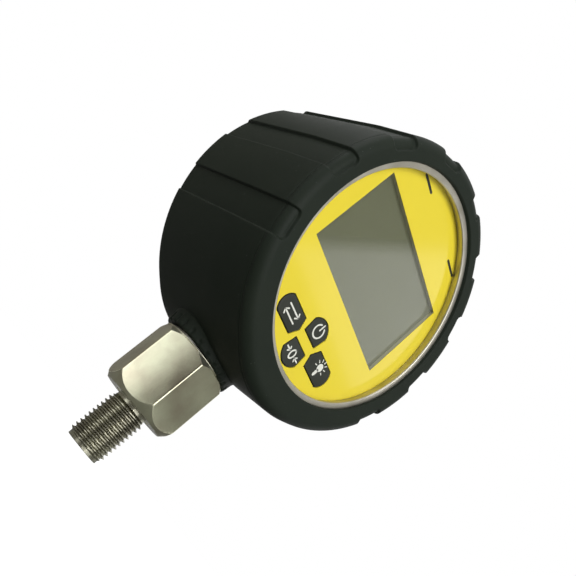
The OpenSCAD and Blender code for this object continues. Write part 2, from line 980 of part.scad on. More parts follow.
// Sprung contact plates at one end of the compartment
plate_t = 0.4;
plate_side = 8;
spring_r = 2.4;
button_contact_r = 1.6;
module contact_plates(side) {
    reach = contact_room - plate_t - seat_gap - slide_gap;
    color([0.75, 0.7, 0.55])
        on_dial()
            for (i = [-1:1])
                translate([side * (box_in_x - seat_gap - plate_t / 2), i * cell_pitch, -cell_d])
                    rotate([0, -90 * side, 0]) {
                        cube([plate_side, plate_side, plate_t], center = true);
                        cylinder(r1 = spring_r, r2 = button_contact_r, h = reach + plate_t / 2);
                    }
}

// Two leads from the contacts through the compartment's floor to the board
module battery_leads() {
    color([0.7, 0.15, 0.12])
        on_dial()
            for (p = lead_places)
                translate(p)
                    slab(board_d + seat_gap, floor_d + lead_r)
                        circle(r = lead_r);
}

// Rubber ring on the ledge round the compartment
door_gasket_in = 0.9;
door_gasket_w = 1.2;
module door_gasket() {
    in_x = box_in_x + door_gasket_in;
    in_y = box_in_y + door_gasket_in;
    color([0.15, 0.15, 0.15])
        on_dial()
            slab(ledge_d, ledge_d + door_gasket_t)
                difference() {
                    round_rect(
                        2 * (in_x + door_gasket_w),
                        2 * (in_y + door_gasket_w),
                        door_corner - door_gasket_in);
                    round_rect(2 * in_x, 2 * in_y, door_gasket_in);
                }
}

// Lift-off battery door with two ears for its screws and a row of finger grooves
finger_w = 14;
finger_pitch = 1.92;
finger_h = finger_pitch / 2;
finger_deep = 0.4;
finger_n = 5;
finger_up = 11.9;
module battery_door() {
    color([0.14, 0.15, 0.15])
        on_dial()
            difference() {
                slab(door_d, cover_back_d)
                    door_outline(0);
                at_door_screws() {
                    slab(door_d - cut_over, cover_back_d + cut_over)
                        circle(r = door_screw[shank_r] + seat_gap);
                    translate([0, 0, -cover_back_d])
                        cylinder(
                            r1 = door_screw[head_r] + seat_gap,
                            r2 = door_screw[shank_r] + seat_gap,
                            h = door_screw[head_h]);
                }
                for (i = [0:finger_n - 1])
                    translate([0, finger_up + (i - (finger_n - 1) / 2) * finger_pitch])
                        slab(cover_back_d - finger_deep, cover_back_d + cut_over)
                            square([finger_w, finger_h], center = true);
            }
}

// Foam pad that steadies the cells
foam_in = 3;
module door_foam() {
    color([0.3, 0.3, 0.3])
        on_dial()
            slab(door_d - foam_t, door_d)
                square([2 * (box_in_x - foam_in), 2 * (box_in_y - foam_in / 2)], center = true);
}

// Two countersunk screws that stay in the door
module door_screws() {
    slot_l = 2 * door_screw[head_r] * screw_slot_share;
    color([0.7, 0.7, 0.68])
        on_dial()
            at_door_screws()
                translate([0, 0, -cover_back_d]) {
                    difference() {
                        cylinder(r1 = door_screw[head_r], r2 = door_screw[shank_r], h = door_screw[head_h]);
                        for (a = [45, 135])
                            rotate([0, 0, a])
                                cube([slot_l, screw_slot_w, door_screw[head_h]], center = true);
                    }
                    translate([0, 0, door_screw[head_h] / 2])
                        cylinder(r = door_screw[shank_r], h = door_screw[reach_l] - door_screw[head_h] / 2);
                }
}

// Steel stem: thread, undercut, hexagon and spigot, drilled through for the pressure
thread_deep_share = 0.6134;
thread_deep = thread_deep_share * thread_step;
thread_start_z = thread_step / 2;
thread_n = floor((thread_l - thread_start_z) / thread_step);
undercut_r = thread_r - thread_deep - ring_gap;
tip_r = thread_r - thread_deep - 2 * ring_gap;
crest_share = 0.125;
root_share = 0.25;
hex_corner_r = hex_af / 2 / cos(30);
hex_low_chamfer = 3.3;
hex_low_step = 0.75;
hex_low_r = hex_af / 2 - hex_low_step;
hex_top_chamfer = 1.7;
hex_top_step = 0.65;
hex_top_r = hex_af / 2 + hex_top_step;
shoulder_relief = 0.2;
module thread_outline() {
    polygon(concat(
        [[0, 0], [tip_r, 0]],
        [for (i = [0:thread_n - 1]) let (z = thread_start_z + i * thread_step)
            each [
                [thread_r - thread_deep, z + thread_step * root_share / 2],
                [thread_r, z + thread_step * (1 - crest_share) / 2],
                [thread_r, z + thread_step * (1 + crest_share) / 2],
                [thread_r - thread_deep, z + thread_step * (1 - root_share / 2)]
            ]],
        [[undercut_r, thread_l], [undercut_r, hex_low_z + cut_over], [0, hex_low_z + cut_over]]
    ));
}

// Ends of the hexagon, with a shallow relief round the thread and cones that chamfer the corners
module hex_limits() {
    far_r = hex_corner_r + cut_over;
    low_rise = hex_low_chamfer * (far_r - hex_low_r) / (hex_corner_r - hex_low_r);
    top_drop = hex_top_chamfer * (far_r - hex_top_r) / (hex_corner_r - hex_top_r);
    polygon([
        [0, hex_low_z + shoulder_relief],
        [thread_r + slide_gap, hex_low_z + shoulder_relief],
        [thread_r + slide_gap, hex_low_z],
        [hex_low_r, hex_low_z],
        [far_r, hex_low_z + low_rise],
        [far_r, hex_top_z - top_drop],
        [hex_top_r, hex_top_z],
        [0, hex_top_z]
    ]);
}

module stem() {
    color([0.7, 0.68, 0.64])
        difference() {
            union() {
                rotate_extrude()
                    thread_outline();
                intersection() {
                    rotate([0, 0, hex_turn])
                        translate([0, 0, hex_low_z - cut_over])
                            cylinder(r = hex_corner_r, h = hex_h + 2 * cut_over, $fn = 6);
                    rotate_extrude()
                        hex_limits();
                }
                translate([0, 0, hex_top_z - cut_over])
                    cylinder(r = spigot_r, h = spigot_l + cut_over);
            }
            translate([0, 0, -cut_over])
                cylinder(r = port_r, h = spigot_top_z + 2 * cut_over);
            translate([0, 0, spigot_top_z - o_ring_seat])
                rotate_extrude()
                    translate([o_ring_r - o_ring_thick_r - seat_gap, 0])
                        square([2 * (o_ring_thick_r + seat_gap), o_ring_seat + cut_over]);
        }
}

// Copper washer between the hexagon and the socket
module stem_washer() {
    color([0.72, 0.45, 0.3])
        translate([0, 0, hex_top_z + seat_gap])
            difference() {
                cylinder(r = socket_r - ring_gap, h = washer_t);
                translate([0, 0, -cut_over])
                    cylinder(r = spigot_r + ring_gap, h = washer_t + 2 * cut_over);
            }
}

// Steel socket welded into the case, which takes the spigot and the sensor
module stem_socket() {
    color([0.66, 0.66, 0.64])
        translate([0, 0, socket_low_z])
            difference() {
                cylinder(r = socket_r, h = socket_top_z - socket_low_z);
                translate([0, 0, -cut_over])
                    cylinder(r = spigot_r + seat_gap, h = socket_top_z - socket_low_z + 2 * cut_over);
            }
}

// Seal between the stem and the capsule
module sensor_o_ring() {
    color([0.1, 0.1, 0.1])
        translate([0, 0, o_ring_z])
            rotate_extrude()
                translate([o_ring_r, 0])
                    circle(r = o_ring_thick_r);
}

// Steel capsule with its diaphragm, header and pins
module sensor_capsule() {
    color([0.75, 0.74, 0.7]) {
        translate([0, 0, capsule_z])
            cylinder(r = capsule_r, h = capsule_flange_t);
        translate([0, 0, capsule_body_z])
            cylinder(r = capsule_body_r, h = capsule_body_h);
        for (i = [0:sensor_pin_n - 1])
            rotate([0, 0, (i + 0.5) * 360 / sensor_pin_n])
                translate([sensor_pin_ring_r, 0, capsule_body_z])
                    cylinder(r = sensor_pin_r, h = sensor_board_z + sensor_board_t - capsule_body_z);
    }
}

// Threaded ring that holds the capsule down in the socket
module sensor_retainer() {
    color([0.68, 0.68, 0.66])
        translate([0, 0, capsule_body_z + seat_gap])
            difference() {
                cylinder(r = spigot_r - seat_gap, h = capsule_body_h);
                translate([0, 0, -cut_over])
                    cylinder(r = capsule_body_r + ring_gap, h = capsule_body_h + 2 * cut_over);
            }
}

// Small board soldered on the capsule's pins
module sensor_board() {
    color([0.1, 0.35, 0.18])
        translate([0, 0, sensor_board_z])
            difference() {
                cylinder(r = sensor_board_r, h = sensor_board_t);
                for (i = [0:sensor_pin_n - 1])
                    rotate([0, 0, (i + 0.5) * 360 / sensor_pin_n])
                        translate([sensor_pin_ring_r, 0, -cut_over])
                            cylinder(r = sensor_pin_r + seat_gap, h = sensor_board_t + 2 * cut_over);
            }
}

// Flat cable from the sensor board up and round to the main board
ribbon_t = 0.8;
ribbon_bend = 5;
module sensor_ribbon() {
    end_d = board_back_d + connector_h + seat_gap;
    low_y = sensor_board_z + sensor_board_t + seat_gap - dial_h;
    leg_d = stem_setback - sensor_board_r / 2;
    bend_y = -ribbon_up - ribbon_bend;
    color([0.8, 0.8, 0.82])
        on_dial()
            rotate([0, 90, 0])
                linear_extrude(ribbon_w, center = true) {
                    translate([leg_d, low_y])
                        square([ribbon_t, bend_y - low_y]);
                    translate([end_d, -ribbon_up])
                        square([leg_d - ribbon_bend - end_d, ribbon_t]);
                    translate([leg_d - ribbon_bend, bend_y])
                        intersection() {
                            difference() {
                                circle(r = ribbon_bend + ribbon_t);
                                circle(r = ribbon_bend);
                            }
                            square(ribbon_bend + ribbon_t);
                        }
                }
}

rubber_boot();
bezel_ring();
dial_overlay();
lcd_window();
front_carrier();
front_gasket();
key_pad(0);  // key_unit
key_pad(1);  // key_power
key_pad(2);  // key_zero
key_pad(3);  // key_backlight
switch_button(0);  // switch_button_unit
switch_button(1);  // switch_button_power
switch_button(2);  // switch_button_zero
switch_button(3);  // switch_button_backlight
switch_body(0);  // switch_body_unit
switch_body(1);  // switch_body_power
switch_body(2);  // switch_body_zero
switch_body(3);  // switch_body_backlight
lcd_glass();
lcd_frame();
backlight_panel();
elastomer_strip();
main_board();
board_chips();
board_connectors();
board_screws();
case_shell();
rear_gasket();
rear_cover();
rear_screws();
cell_top();
cell_middle();
cell_bottom();
contact_plates(-1);  // contact_plates_left
contact_plates(1);  // contact_plates_right
battery_leads();
door_gasket();
battery_door();
door_foam();
door_screws();
stem();
stem_washer();
stem_socket();
sensor_o_ring();
sensor_capsule();
sensor_retainer();
sensor_board();
sensor_ribbon();
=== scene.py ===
import math

import bmesh
import bpy
import numpy as np
from mathutils import Matrix, Vector


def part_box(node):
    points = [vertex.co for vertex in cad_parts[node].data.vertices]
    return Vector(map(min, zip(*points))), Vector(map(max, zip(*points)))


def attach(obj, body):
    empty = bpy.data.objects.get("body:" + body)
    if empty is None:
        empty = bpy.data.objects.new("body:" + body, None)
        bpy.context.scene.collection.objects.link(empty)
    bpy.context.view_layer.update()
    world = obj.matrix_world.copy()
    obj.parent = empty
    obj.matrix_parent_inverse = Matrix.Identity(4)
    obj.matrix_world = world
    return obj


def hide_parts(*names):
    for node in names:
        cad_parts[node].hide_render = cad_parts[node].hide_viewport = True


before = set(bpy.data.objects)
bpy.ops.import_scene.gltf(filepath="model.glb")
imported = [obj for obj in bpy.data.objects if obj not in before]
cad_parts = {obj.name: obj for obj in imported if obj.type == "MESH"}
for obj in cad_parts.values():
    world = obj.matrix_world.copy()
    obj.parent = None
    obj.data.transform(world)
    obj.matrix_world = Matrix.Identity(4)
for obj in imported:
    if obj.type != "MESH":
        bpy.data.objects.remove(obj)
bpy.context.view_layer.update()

# Camera: it stands low on the left of the gauge, looks up at the dial and is rolled by about 50 degrees.
# Its place and axes were solved from the bezel's edge, the display's corners, the hexagon and the thread.
MM = 0.001
camera_place = Vector((-147.13, -172.96, 7.04)) * MM
image_right = Vector((0.3206, -0.5944, 0.7375)).normalized()
image_down = Vector((0.7138, -0.3602, -0.6006)).normalized()
image_in = image_right.cross(image_down)
sensor_mm = 36
lens_mm = 45.4385
camera = bpy.data.objects.new("camera", bpy.data.cameras.new("camera"))
camera.data.sensor_width = sensor_mm
camera.data.lens = lens_mm
camera.data.clip_start = 10 * MM
camera.matrix_world = Matrix.Translation(camera_place) @ Matrix(
    (image_right, -image_down, -image_in)).transposed().to_4x4()
bpy.context.scene.collection.objects.link(camera)
bpy.context.scene.camera = camera
bpy.context.scene.view_settings.view_transform = "Standard"


# Stem: stainless bar, turned, threaded and milled to a hexagon, with the pressure port drilled through it.
# The thread is a true helix, the hexagon's corners are chamfered, and the flats keep light tool marks.
def colour(code):
    """A six digit sRGB hex value as the linear colour that shaders take."""
    parts = [int(code[i:i + 2], 16) / 255 for i in (0, 2, 4)]
    return [*(c / 12.92 if c <= 0.04045 else ((c + 0.055) / 1.055) ** 2.4 for c in parts), 1]


def per(size_mm):
    """The scale of a pattern whose features are size_mm apart."""
    return 1 / (size_mm * MM)


def put(tree, kind, feeds=None, **settings):
    """Adds a shader node. A feed is a plain value, a node's output, or a node, for its first output."""
    made = tree.nodes.new("ShaderNode" + kind)
    for name, value in settings.items():
        setattr(made, name, value)
    for socket, value in (feeds or {}).items():
        if isinstance(value, bpy.types.Node):
            value = value.outputs[0]
        if isinstance(value, bpy.types.NodeSocket):
            tree.links.new(value, made.inputs[socket])
        else:
            made.inputs[socket].default_value = value
    return made


def start(name):
    """A new material, its node tree and the piece's own coordinates in metres."""
    made = bpy.data.materials.new(name)
    made.use_nodes = True
    made.node_tree.nodes.clear()
    return made, made.node_tree, put(made.node_tree, "TexCoord").outputs["Object"]


def between(tree, value, low, high):
    """Maps a pattern's 0 to 1 onto low to high."""
    return put(tree, "MapRange", {"Value": value, "To Min": low, "To Max": high})


def metal(name, light, dark, rough, mark_mm, stretch, bump_mm, stain_mm=11):
    """Bare metal: long tool marks, faint stains and patches rubbed smoother by handling."""
    made, tree, place = start(name)
    marks = put(tree, "TexNoise", {
        "Vector": put(tree, "Mapping", {"Vector": place, "Scale": stretch}),
        "Scale": per(mark_mm), "Detail": 4, "Roughness": 0.6})
    stains = put(tree, "TexNoise", {
        "Vector": place, "Scale": per(stain_mm), "Detail": 4, "Roughness": 0.5})
    patches = put(tree, "MapRange", {"Value": stains, "From Min": 0.3, "From Max": 0.66})
    tint = put(tree, "Mix", {
        "Factor": patches, 6: colour(dark), 7: colour(light)}, data_type="RGBA")
    smooth = put(tree, "Math", {0: marks, 1: stains}, operation="ADD")
    shader = put(tree, "BsdfPrincipled", {
        "Base Color": tint.outputs[2], "Metallic": 1.0,
        "Roughness": put(tree, "MapRange", {
            "Value": smooth, "From Min": 0.6, "From Max": 1.4,
            "To Min": rough * 0.8, "To Max": rough * 1.2}),
        "Normal": put(tree, "Bump", {"Height": marks, "Strength": 0.5, "Distance": bump_mm * MM})})
    put(tree, "OutputMaterial", {"Surface": shader})
    return made


def solid(name, points, faces, made, body, slot, stands_for=(), sharp=32):
    """A closed piece from points in millimetres, smooth except at sharp corners, riding on its body."""
    mesh = bpy.data.meshes.new(name)
    mesh.from_pydata([Vector(p) * MM for p in points], [], faces)
    shape = bmesh.new()
    shape.from_mesh(mesh)
    bmesh.ops.recalc_face_normals(shape, faces=shape.faces)
    shape.to_mesh(mesh)
    shape.free()
    mesh.polygons.foreach_set("use_smooth", [True] * len(mesh.polygons))
    mesh.set_sharp_from_angle(angle=math.radians(sharp))
    mesh.materials.append(made)
    piece = bpy.data.objects.new(name, mesh)
    bpy.context.scene.collection.objects.link(piece)
    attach(piece, body)
    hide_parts(*stands_for)
    return piece


def loop_faces(rows, columns):
    """The faces of a grid that closes on itself both ways, such as a turned ring."""
    row, column = np.meshgrid(np.arange(rows), np.arange(columns), indexing="ij")
    here = row * columns
    after = (row + 1) % rows * columns
    right = (column + 1) % columns
    corners = [here + column, here + right, after + right, after + column]
    return np.stack(corners, -1).reshape(-1, 4).tolist()


stem_high_z = (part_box("stem")[1] / MM).z
port_r = 2
port_edge = 0.4
thread_r = 7
thread_step = 1.5
thread_deep = 0.92
thread_l = 17.5
tip_r = thread_r - thread_deep - 0.2
tip_edge = 0.15
undercut_r = thread_r - thread_deep - 0.1
undercut_edge = 0.25
hex_af = 25.5
hex_turn = math.radians(3.7)
hex_low_z = 18.8
hex_corner_r = hex_af / 2 / math.cos(math.radians(30))
hex_low_r = 12
hex_low_chamfer = 3.3
hex_high_chamfer = 2
hex_edge_round = 0.6
hex_crown = 0.12
hex_flat_round = 0.12
hex_corner_round = 1.5
hex_edge = 0.1
relief_r = 7.3
relief_t = 0.2
face_r = 13.1
face_low_z = 42.6
face_high_z = 42.95
face_edge = 0.12
spigot_r = 9
spigot_edge = 0.5

# Directions round the stem: close together at the hexagon's corners
corner_steps = np.radians([0, 0.3, 0.6, 0.9, 1.2, 1.6, 2.4, 4, 7, 11, 15, 20, 25])
sixth = np.concatenate([corner_steps, math.radians(60) - corner_steps[:0:-1]])
turns = np.concatenate([sixth + math.radians(60 * i) for i in range(6)]) + hex_turn

# Distance from the axis to the hexagon's side in each direction. Polishing has left the flats
# slightly crowned and their upright edges rounded.
off_corner = np.abs((turns - hex_turn + math.radians(30)) % math.radians(60) - math.radians(30))
off_middle = math.radians(30) - off_corner
crown = hex_crown * (np.tan(off_middle) / math.tan(math.radians(30))) ** 2
flat_side = (hex_af / 2 - crown) / np.cos(off_middle)
round_centre = hex_corner_r - (hex_crown + hex_edge_round) / math.cos(math.radians(30))
inside = np.maximum(hex_edge_round ** 2 - (round_centre * np.sin(off_corner)) ** 2, 0)
rounded = round_centre * np.cos(off_corner) + np.sqrt(inside)
near_corner = round_centre * np.sin(off_corner) < hex_edge_round * math.sin(math.radians(30))
hex_side = np.where(near_corner, np.minimum(flat_side, rounded), flat_side)

# The low chamfer is a cone. It meets the flats in a crisp edge, and the corners in a wider round.
low_edge_z = hex_low_z + (hex_side - hex_low_r) * hex_low_chamfer / (hex_corner_r - hex_low_r)
low_slope = math.atan2(hex_low_chamfer, hex_corner_r - hex_low_r)
near_corner_share = (hex_side - hex_af / 2) / (hex_corner_r - hex_af / 2)
low_round = hex_flat_round + hex_corner_round * near_corner_share ** 2
high_drop = (hex_side - face_r) * hex_high_chamfer / (hex_corner_r - face_r)
high_edge_z = face_low_z - np.maximum(high_drop, 0)


# Thread: how far from a crest's middle the flank starts and ends, in shares of the step, how much the
# flanks bow, the smooth band at the tip, and the slopes by which the thread starts and ends
crest_share = 0.0625
root_share = 0.375
flank_bow = 0.2
tip_band = 1.1
tip_step = 0.12
lead_in_slope = 0.95
run_out_slope = 1.1
run_out_l = 1.1
thread_row = 0.1
thread_first_z = 0.08
thread_last_z = thread_l - 0.02


def thread_radius(z):
    """The thread's radius at height z in each direction round the stem."""
    phase = (z / thread_step - turns / math.tau) % 1
    off_crest = np.minimum(phase, 1 - phase)
    sunk = np.clip((off_crest - crest_share) / (root_share - crest_share), 0, 1)
    sunk = sunk * (1 - flank_bow) + flank_bow * sunk * sunk * (3 - 2 * sunk)
    lead_in = tip_r + tip_step + lead_in_slope * np.maximum(z - tip_band, 0)
    run_out = thread_r - run_out_slope * np.maximum(z - thread_l + run_out_l, 0)
    radius = np.minimum(np.minimum(thread_r - thread_deep * sunk, lead_in), run_out)
    return np.maximum(radius, tip_r)


def stem_rows():
    """Rows of radius and height: out over the tip, up the outside and down the bore."""
    yield port_r, port_edge
    yield port_r + port_edge, 0
    yield tip_r - tip_edge, 0
    for z in np.arange(thread_first_z, thread_last_z, thread_row):
        yield thread_radius(z), z
    yield undercut_r + undercut_edge, thread_l
    yield undercut_r, thread_l + undercut_edge
    yield undercut_r, hex_low_z - relief_t / 2
    yield undercut_r + relief_t, hex_low_z + relief_t
    yield relief_r, hex_low_z + relief_t
    yield relief_r, hex_low_z
    yield hex_low_r - hex_edge, hex_low_z
    yield hex_low_r, hex_low_z + 0.8 * hex_edge
    for share in (0, 0.25, 0.5, 0.75, 1):
        below = (1 - share) ** 2 * low_round
        above = share ** 2 * low_round
        yield hex_side - below * math.cos(low_slope), low_edge_z - below * math.sin(low_slope) + above
    for share in (0.25, 0.5, 0.75):
        yield hex_side, low_edge_z + share * (high_edge_z - low_edge_z)
    yield hex_side, high_edge_z - face_edge
    yield hex_side - hex_edge, high_edge_z
    yield face_r, face_low_z + hex_edge / 2
    yield face_r, face_high_z - face_edge
    yield face_r - face_edge, face_high_z
    yield spigot_r, face_high_z
    yield spigot_r, stem_high_z - spigot_edge
    yield spigot_r - spigot_edge, stem_high_z
    yield port_r, stem_high_z
    yield port_r, stem_high_z / 2


stem_points = []
for radius, z in stem_rows():
    radius = np.broadcast_to(radius, turns.shape)
    z = np.broadcast_to(z, turns.shape)
    stem_points += np.stack([radius * np.cos(turns), radius * np.sin(turns), z], -1).tolist()

# Stainless steel, machined: warm grey, with tool marks that run round the bar and a soft sheen
stainless = metal("stainless_steel_machined", "DCDDC1", "BFB8A2", 0.2, 0.6, (1, 1, 4), 0.001)
stem = solid("stem_steel", stem_points, loop_faces(len(stem_points) // len(turns), len(turns)),
    stainless, "gauge", "stem_steel", ["stem"], sharp=20)

# Stainless steel as the threading tool left it: slightly duller, with fine rings. Its colour, darker than
# the machined steel's, is painted shade on the thread below the hexagon.
threaded_and_shaded = metal("stainless_steel_threaded_and_shaded", "B2B19E", "898678", 0.25, 0.3, (1, 1, 5), 0.0005)
stem.data.materials.append(threaded_and_shaded)
# Stainless steel, faced on the lathe: rings too fine to see spread the light on the top chamfer
faced = metal("stainless_steel_faced", "DCDCC6", "BDB7A4", 0.42, 0.3, (1, 1, 5), 0.001)
stem.data.materials.append(faced)
looks_up = 0.3
# Faces below the hexagon take the threaded steel and its painted shade; faces that look up, and the top,
# take the faced steel
for face in stem.data.polygons:
    if face.center.z < hex_low_z * MM:
        face.material_index = 1
    elif face.normal.z > looks_up or face.center.z > face_low_z * MM:
        face.material_index = 2


# Seal and socket round the stem: a soft copper washer, nickel plated, under a turned steel socket that is
# welded to the case. They are closed in by the boot's collar and keep the sizes of the frame.
def dress(made, *nodes):
    """Gives the frame's own pieces their real finish."""
    for name in nodes:
        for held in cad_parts[name].material_slots:
            held.material = made


# Nickel plated copper: bright and warm, with fine rings
washer_copper = metal("copper_nickel_plated", "D6D2C4", "B9B4A4", 0.25, 0.4, (1, 1, 4), 0.004)
# Plain steel, turned: greyer and duller, with coarser rings
socket_steel = metal("steel_turned", "BDBBB4", "9A9891", 0.34, 0.4, (1, 1, 8), 0.01)
dress(washer_copper, "stem_washer")
dress(socket_steel, "stem_socket", "sensor_capsule", "sensor_retainer")


# Moulded parts that are hidden in the case or behind the door: seals, switches, frames and connectors.
# Rubber and plastic share one way of being made, in a spark eroded or polished steel mould.
def moulded(name, code, rough, grain_mm, bump_mm, drift=0.14, shine=0.5, cloud_mm=14):
    """Moulded plastic or rubber: a fine mould grain, slow drift of colour and slightly uneven gloss."""
    made, tree, place = start(name)
    grain = put(tree, "TexNoise", {"Vector": place, "Scale": per(grain_mm), "Detail": 3, "Roughness": 0.6})
    cloud = put(tree, "TexNoise", {
        "Vector": place, "Scale": per(cloud_mm), "Detail": 4, "Roughness": 0.6})
    base = colour(code)
    pale = [c + (1 - c) * drift * 0.25 for c in base[:3]] + [1]
    deep = [c * (1 - drift) for c in base[:3]] + [1]
    tint = put(tree, "Mix", {"Factor": cloud, 6: deep, 7: pale}, data_type="RGBA")
    shader = put(tree, "BsdfPrincipled", {
        "Base Color": tint.outputs[2],
        "Roughness": between(tree, grain, rough * 0.85, min(rough * 1.15, 1)),
        "Specular IOR Level": shine,
        "Normal": put(tree, "Bump", {"Height": grain, "Strength": 0.6, "Distance": bump_mm * MM})})
    put(tree, "OutputMaterial", {"Surface": shader})
    return made


# The rubbers are dull, black or brick red. The plastics are satin: olive grey, ivory, milky or dark.
# The epoxy of the chips is a fine matt black, and the cable and the leads have a soft shine.
dress(moulded("nitrile_rubber", "1E1F20", 0.55, 0.3, 0.02), "sensor_o_ring", "front_gasket", "door_gasket")
dress(moulded("silicone_rubber_red", "9C3B2C", 0.5, 0.3, 0.02), "rear_gasket")
dress(moulded("polycarbonate_olive_grey", "8E8B70", 0.5, 0.25, 0.01), "front_carrier")
dress(moulded("abs_ivory", "D9D6C8", 0.4, 0.3, 0.01), "lcd_frame")
dress(moulded("nylon_ivory", "DCD5BC", 0.48, 0.3, 0.012), "board_connectors")
dress(moulded("epoxy_moulding_black", "202122", 0.5, 0.2, 0.008), "board_chips")
dress(moulded("acrylic_opal", "EFEFE6", 0.3, 0.6, 0.004), "backlight_panel")
dress(moulded("phenolic_black", "2B2C30", 0.4, 0.25, 0.01), *[
    f"switch_{part}_{key}"
    for part in ("body", "button") for key in ("unit", "power", "zero", "backlight")])
dress(moulded("polyester_cable_grey", "B9BCC0", 0.38, 0.5, 0.006), "sensor_ribbon")
dress(moulded("pvc_red", "A5281F", 0.42, 0.4, 0.006), "battery_leads")


# Circuit boards: glass fibre and epoxy under green solder mask, with etched copper tracks that show
# through it as faint ridges. The main board is screwed to the carrier.
def solder_mask(name):
    """Green mask over a net of tracks, some millimetres apart, with the glass weave just visible."""
    made, tree, place = start(name)
    flat_on = put(tree, "Mapping", {"Vector": place, "Rotation": (math.radians(90), 0, 0)})
    tracks = put(tree, "TexBrick", {
        "Vector": flat_on, "Scale": per(9), "Mortar Size": 0.03, "Bias": 0.2,
        "Color1": colour("1D5A33"), "Color2": colour("17492A"), "Mortar": colour("2F7A48")})
    weave = put(tree, "TexNoise", {"Vector": place, "Scale": per(0.5), "Detail": 2})
    shader = put(tree, "BsdfPrincipled", {
        "Base Color": tracks.outputs["Color"],
        "Roughness": between(tree, weave, 0.25, 0.4),
        "Normal": put(tree, "Bump", {
            "Height": tracks.outputs["Fac"], "Strength": 0.4, "Distance": 0.03 * MM})})
    put(tree, "OutputMaterial", {"Surface": shader})
    return made


dress(solder_mask("solder_mask_green"), "main_board", "sensor_board")


# Conductive strip: layers of carbon filled and clear silicone, pressed between the display and the board.
# The real layers are a tenth of a millimetre apart. They are drawn coarser, so that they show.
def striped(name, step_mm, code_a, code_b, rough):
    """Even stripes across x. The node fits 20 / tau waves into one unit."""
    made, tree, place = start(name)
    bands = put(tree, "TexWave", {
        "Vector": place, "Scale": per(step_mm) * math.tau / 20,
        "Distortion": 0.2, "Detail": 1, "Detail Scale": 1},
        wave_type="BANDS", bands_direction="X")
    tint = put(tree, "Mix", {"Factor": bands, 6: colour(code_a), 7: colour(code_b)}, data_type="RGBA")
    shader = put(tree, "BsdfPrincipled", {
        "Base Color": tint.outputs[2], "Roughness": between(tree, bands, rough * 0.9, rough * 1.1)})
    put(tree, "OutputMaterial", {"Surface": shader})
    return made


dress(striped("silicone_carbon_layers", 0.8, "2A2A2C", "8E8F90", 0.6), "elastomer_strip")

# Case, contacts and the board's screws: a drawn steel tube, stamped brass springs and small steel screws.
# Only the contacts show, when the battery door is off.

# Steel, drawn: grey, with marks that run along the tube
case_steel = metal("steel_drawn", "B7B5AD", "96948D", 0.36, 0.6, (1, 9, 1), 0.01)
# Zinc plate: a pale, neutral grey with a dull sheen
zinc_plate = metal("zinc_plated_steel", "C7C8C6", "A2A3A1", 0.42, 0.3, (1, 1, 1), 0.0005)
# Nickel plated brass: bright, with the brass showing through as a warm tone
nickel_plate = metal("nickel_plated_brass", "C9BE98", "A2966F", 0.28, 0.4, (1, 1, 6), 0.006)
dress(case_steel, "case_shell")
dress(zinc_plate, "board_screws")
dress(nickel_plate, "contact_plates_left", "contact_plates_right")

# Screws of the rear cover and of the battery door: zinc plated steel with a cross recess and a coarse
# thread for plastic. The cover's have pan heads. The door's are countersunk in its ears.
screw_columns = 72
screw_middle_r = 0.02
head_first_r = 0.1
head_row = 0.08
head_round = 0.3
recess_l = 1.25
recess_w = 0.62
recess_deep = 0.5
recess_soft = 0.22
screw_step = 0.8
screw_row = screw_step / 5
screw_neck = 0.05
screw_thread_deep = 0.25
screw_flank = 3
screw_point_l = 0.8
screw_point_share = 0.4


def screw(centre_x, centre_z, head_y, head_r, head_h, dome_h, under_r, shank_r, end_y, turned_deg):
    """One screw with its head towards the rear, as points and faces. Its axis runs along y."""
    angles = np.arange(screw_columns) * math.tau / screw_columns
    flat_r = head_r - head_round
    over_edge = flat_r + head_round * np.sin(np.radians([0, 30, 60, 90]))
    rows = []
    for r in [screw_middle_r, *np.arange(head_first_r, flat_r, head_row), *over_edge]:
        crown = dome_h * (1 - (r / head_r) ** 2)
        rounded = head_round - math.sqrt(max(head_round ** 2 - max(r - flat_r, 0) ** 2, 0))
        off_arm = np.minimum(np.abs(r * np.sin(angles)), np.abs(r * np.cos(angles)))
        inside = np.clip(0.5 - (off_arm - recess_w / 2) / recess_soft, 0, 1)
        inside = inside * np.clip(0.5 - (r - recess_l) / recess_soft, 0, 1)
        rows.append((r, head_y + crown - rounded - recess_deep * inside))
    rows.append((under_r, head_y - head_h))
    for y in np.arange(head_y - head_h - screw_neck, end_y, -screw_row):
        phase = (y / screw_step - angles / math.tau) % 1
        sunk = np.clip(np.minimum(phase, 1 - phase) * screw_flank, 0, 1)
        point = min((y - end_y) / screw_point_l, 1)
        taper = screw_point_share + (1 - screw_point_share) * point
        rows.append(((shank_r - screw_thread_deep * sunk) * taper, y))
    rows.append((screw_middle_r, end_y))
    turn = angles + math.radians(turned_deg)
    points = []
    for r, y in rows:
        y = np.broadcast_to(y, turn.shape)
        points += np.stack([centre_x + r * np.cos(turn), y, centre_z + r * np.sin(turn)], -1).tolist()
    return points, loop_faces(len(rows), screw_columns)


def screw_set(name, stands_for, body, places, **sizes):
    """The screws of one node, each turned to its own angle as tightening left it."""
    low, high = (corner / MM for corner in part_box(stands_for))
    points, faces = [], []
    for i, (x, z) in enumerate(places):
        more_points, more_faces = screw(x, z, high.y, end_y=low.y, turned_deg=12 + 37 * i, **sizes)
        faces += [[corner + len(points) for corner in face] for face in more_faces]
        points += more_points
    solid(name, points, faces, zinc_plate, body, "screw_steel", [stands_for], sharp=40)


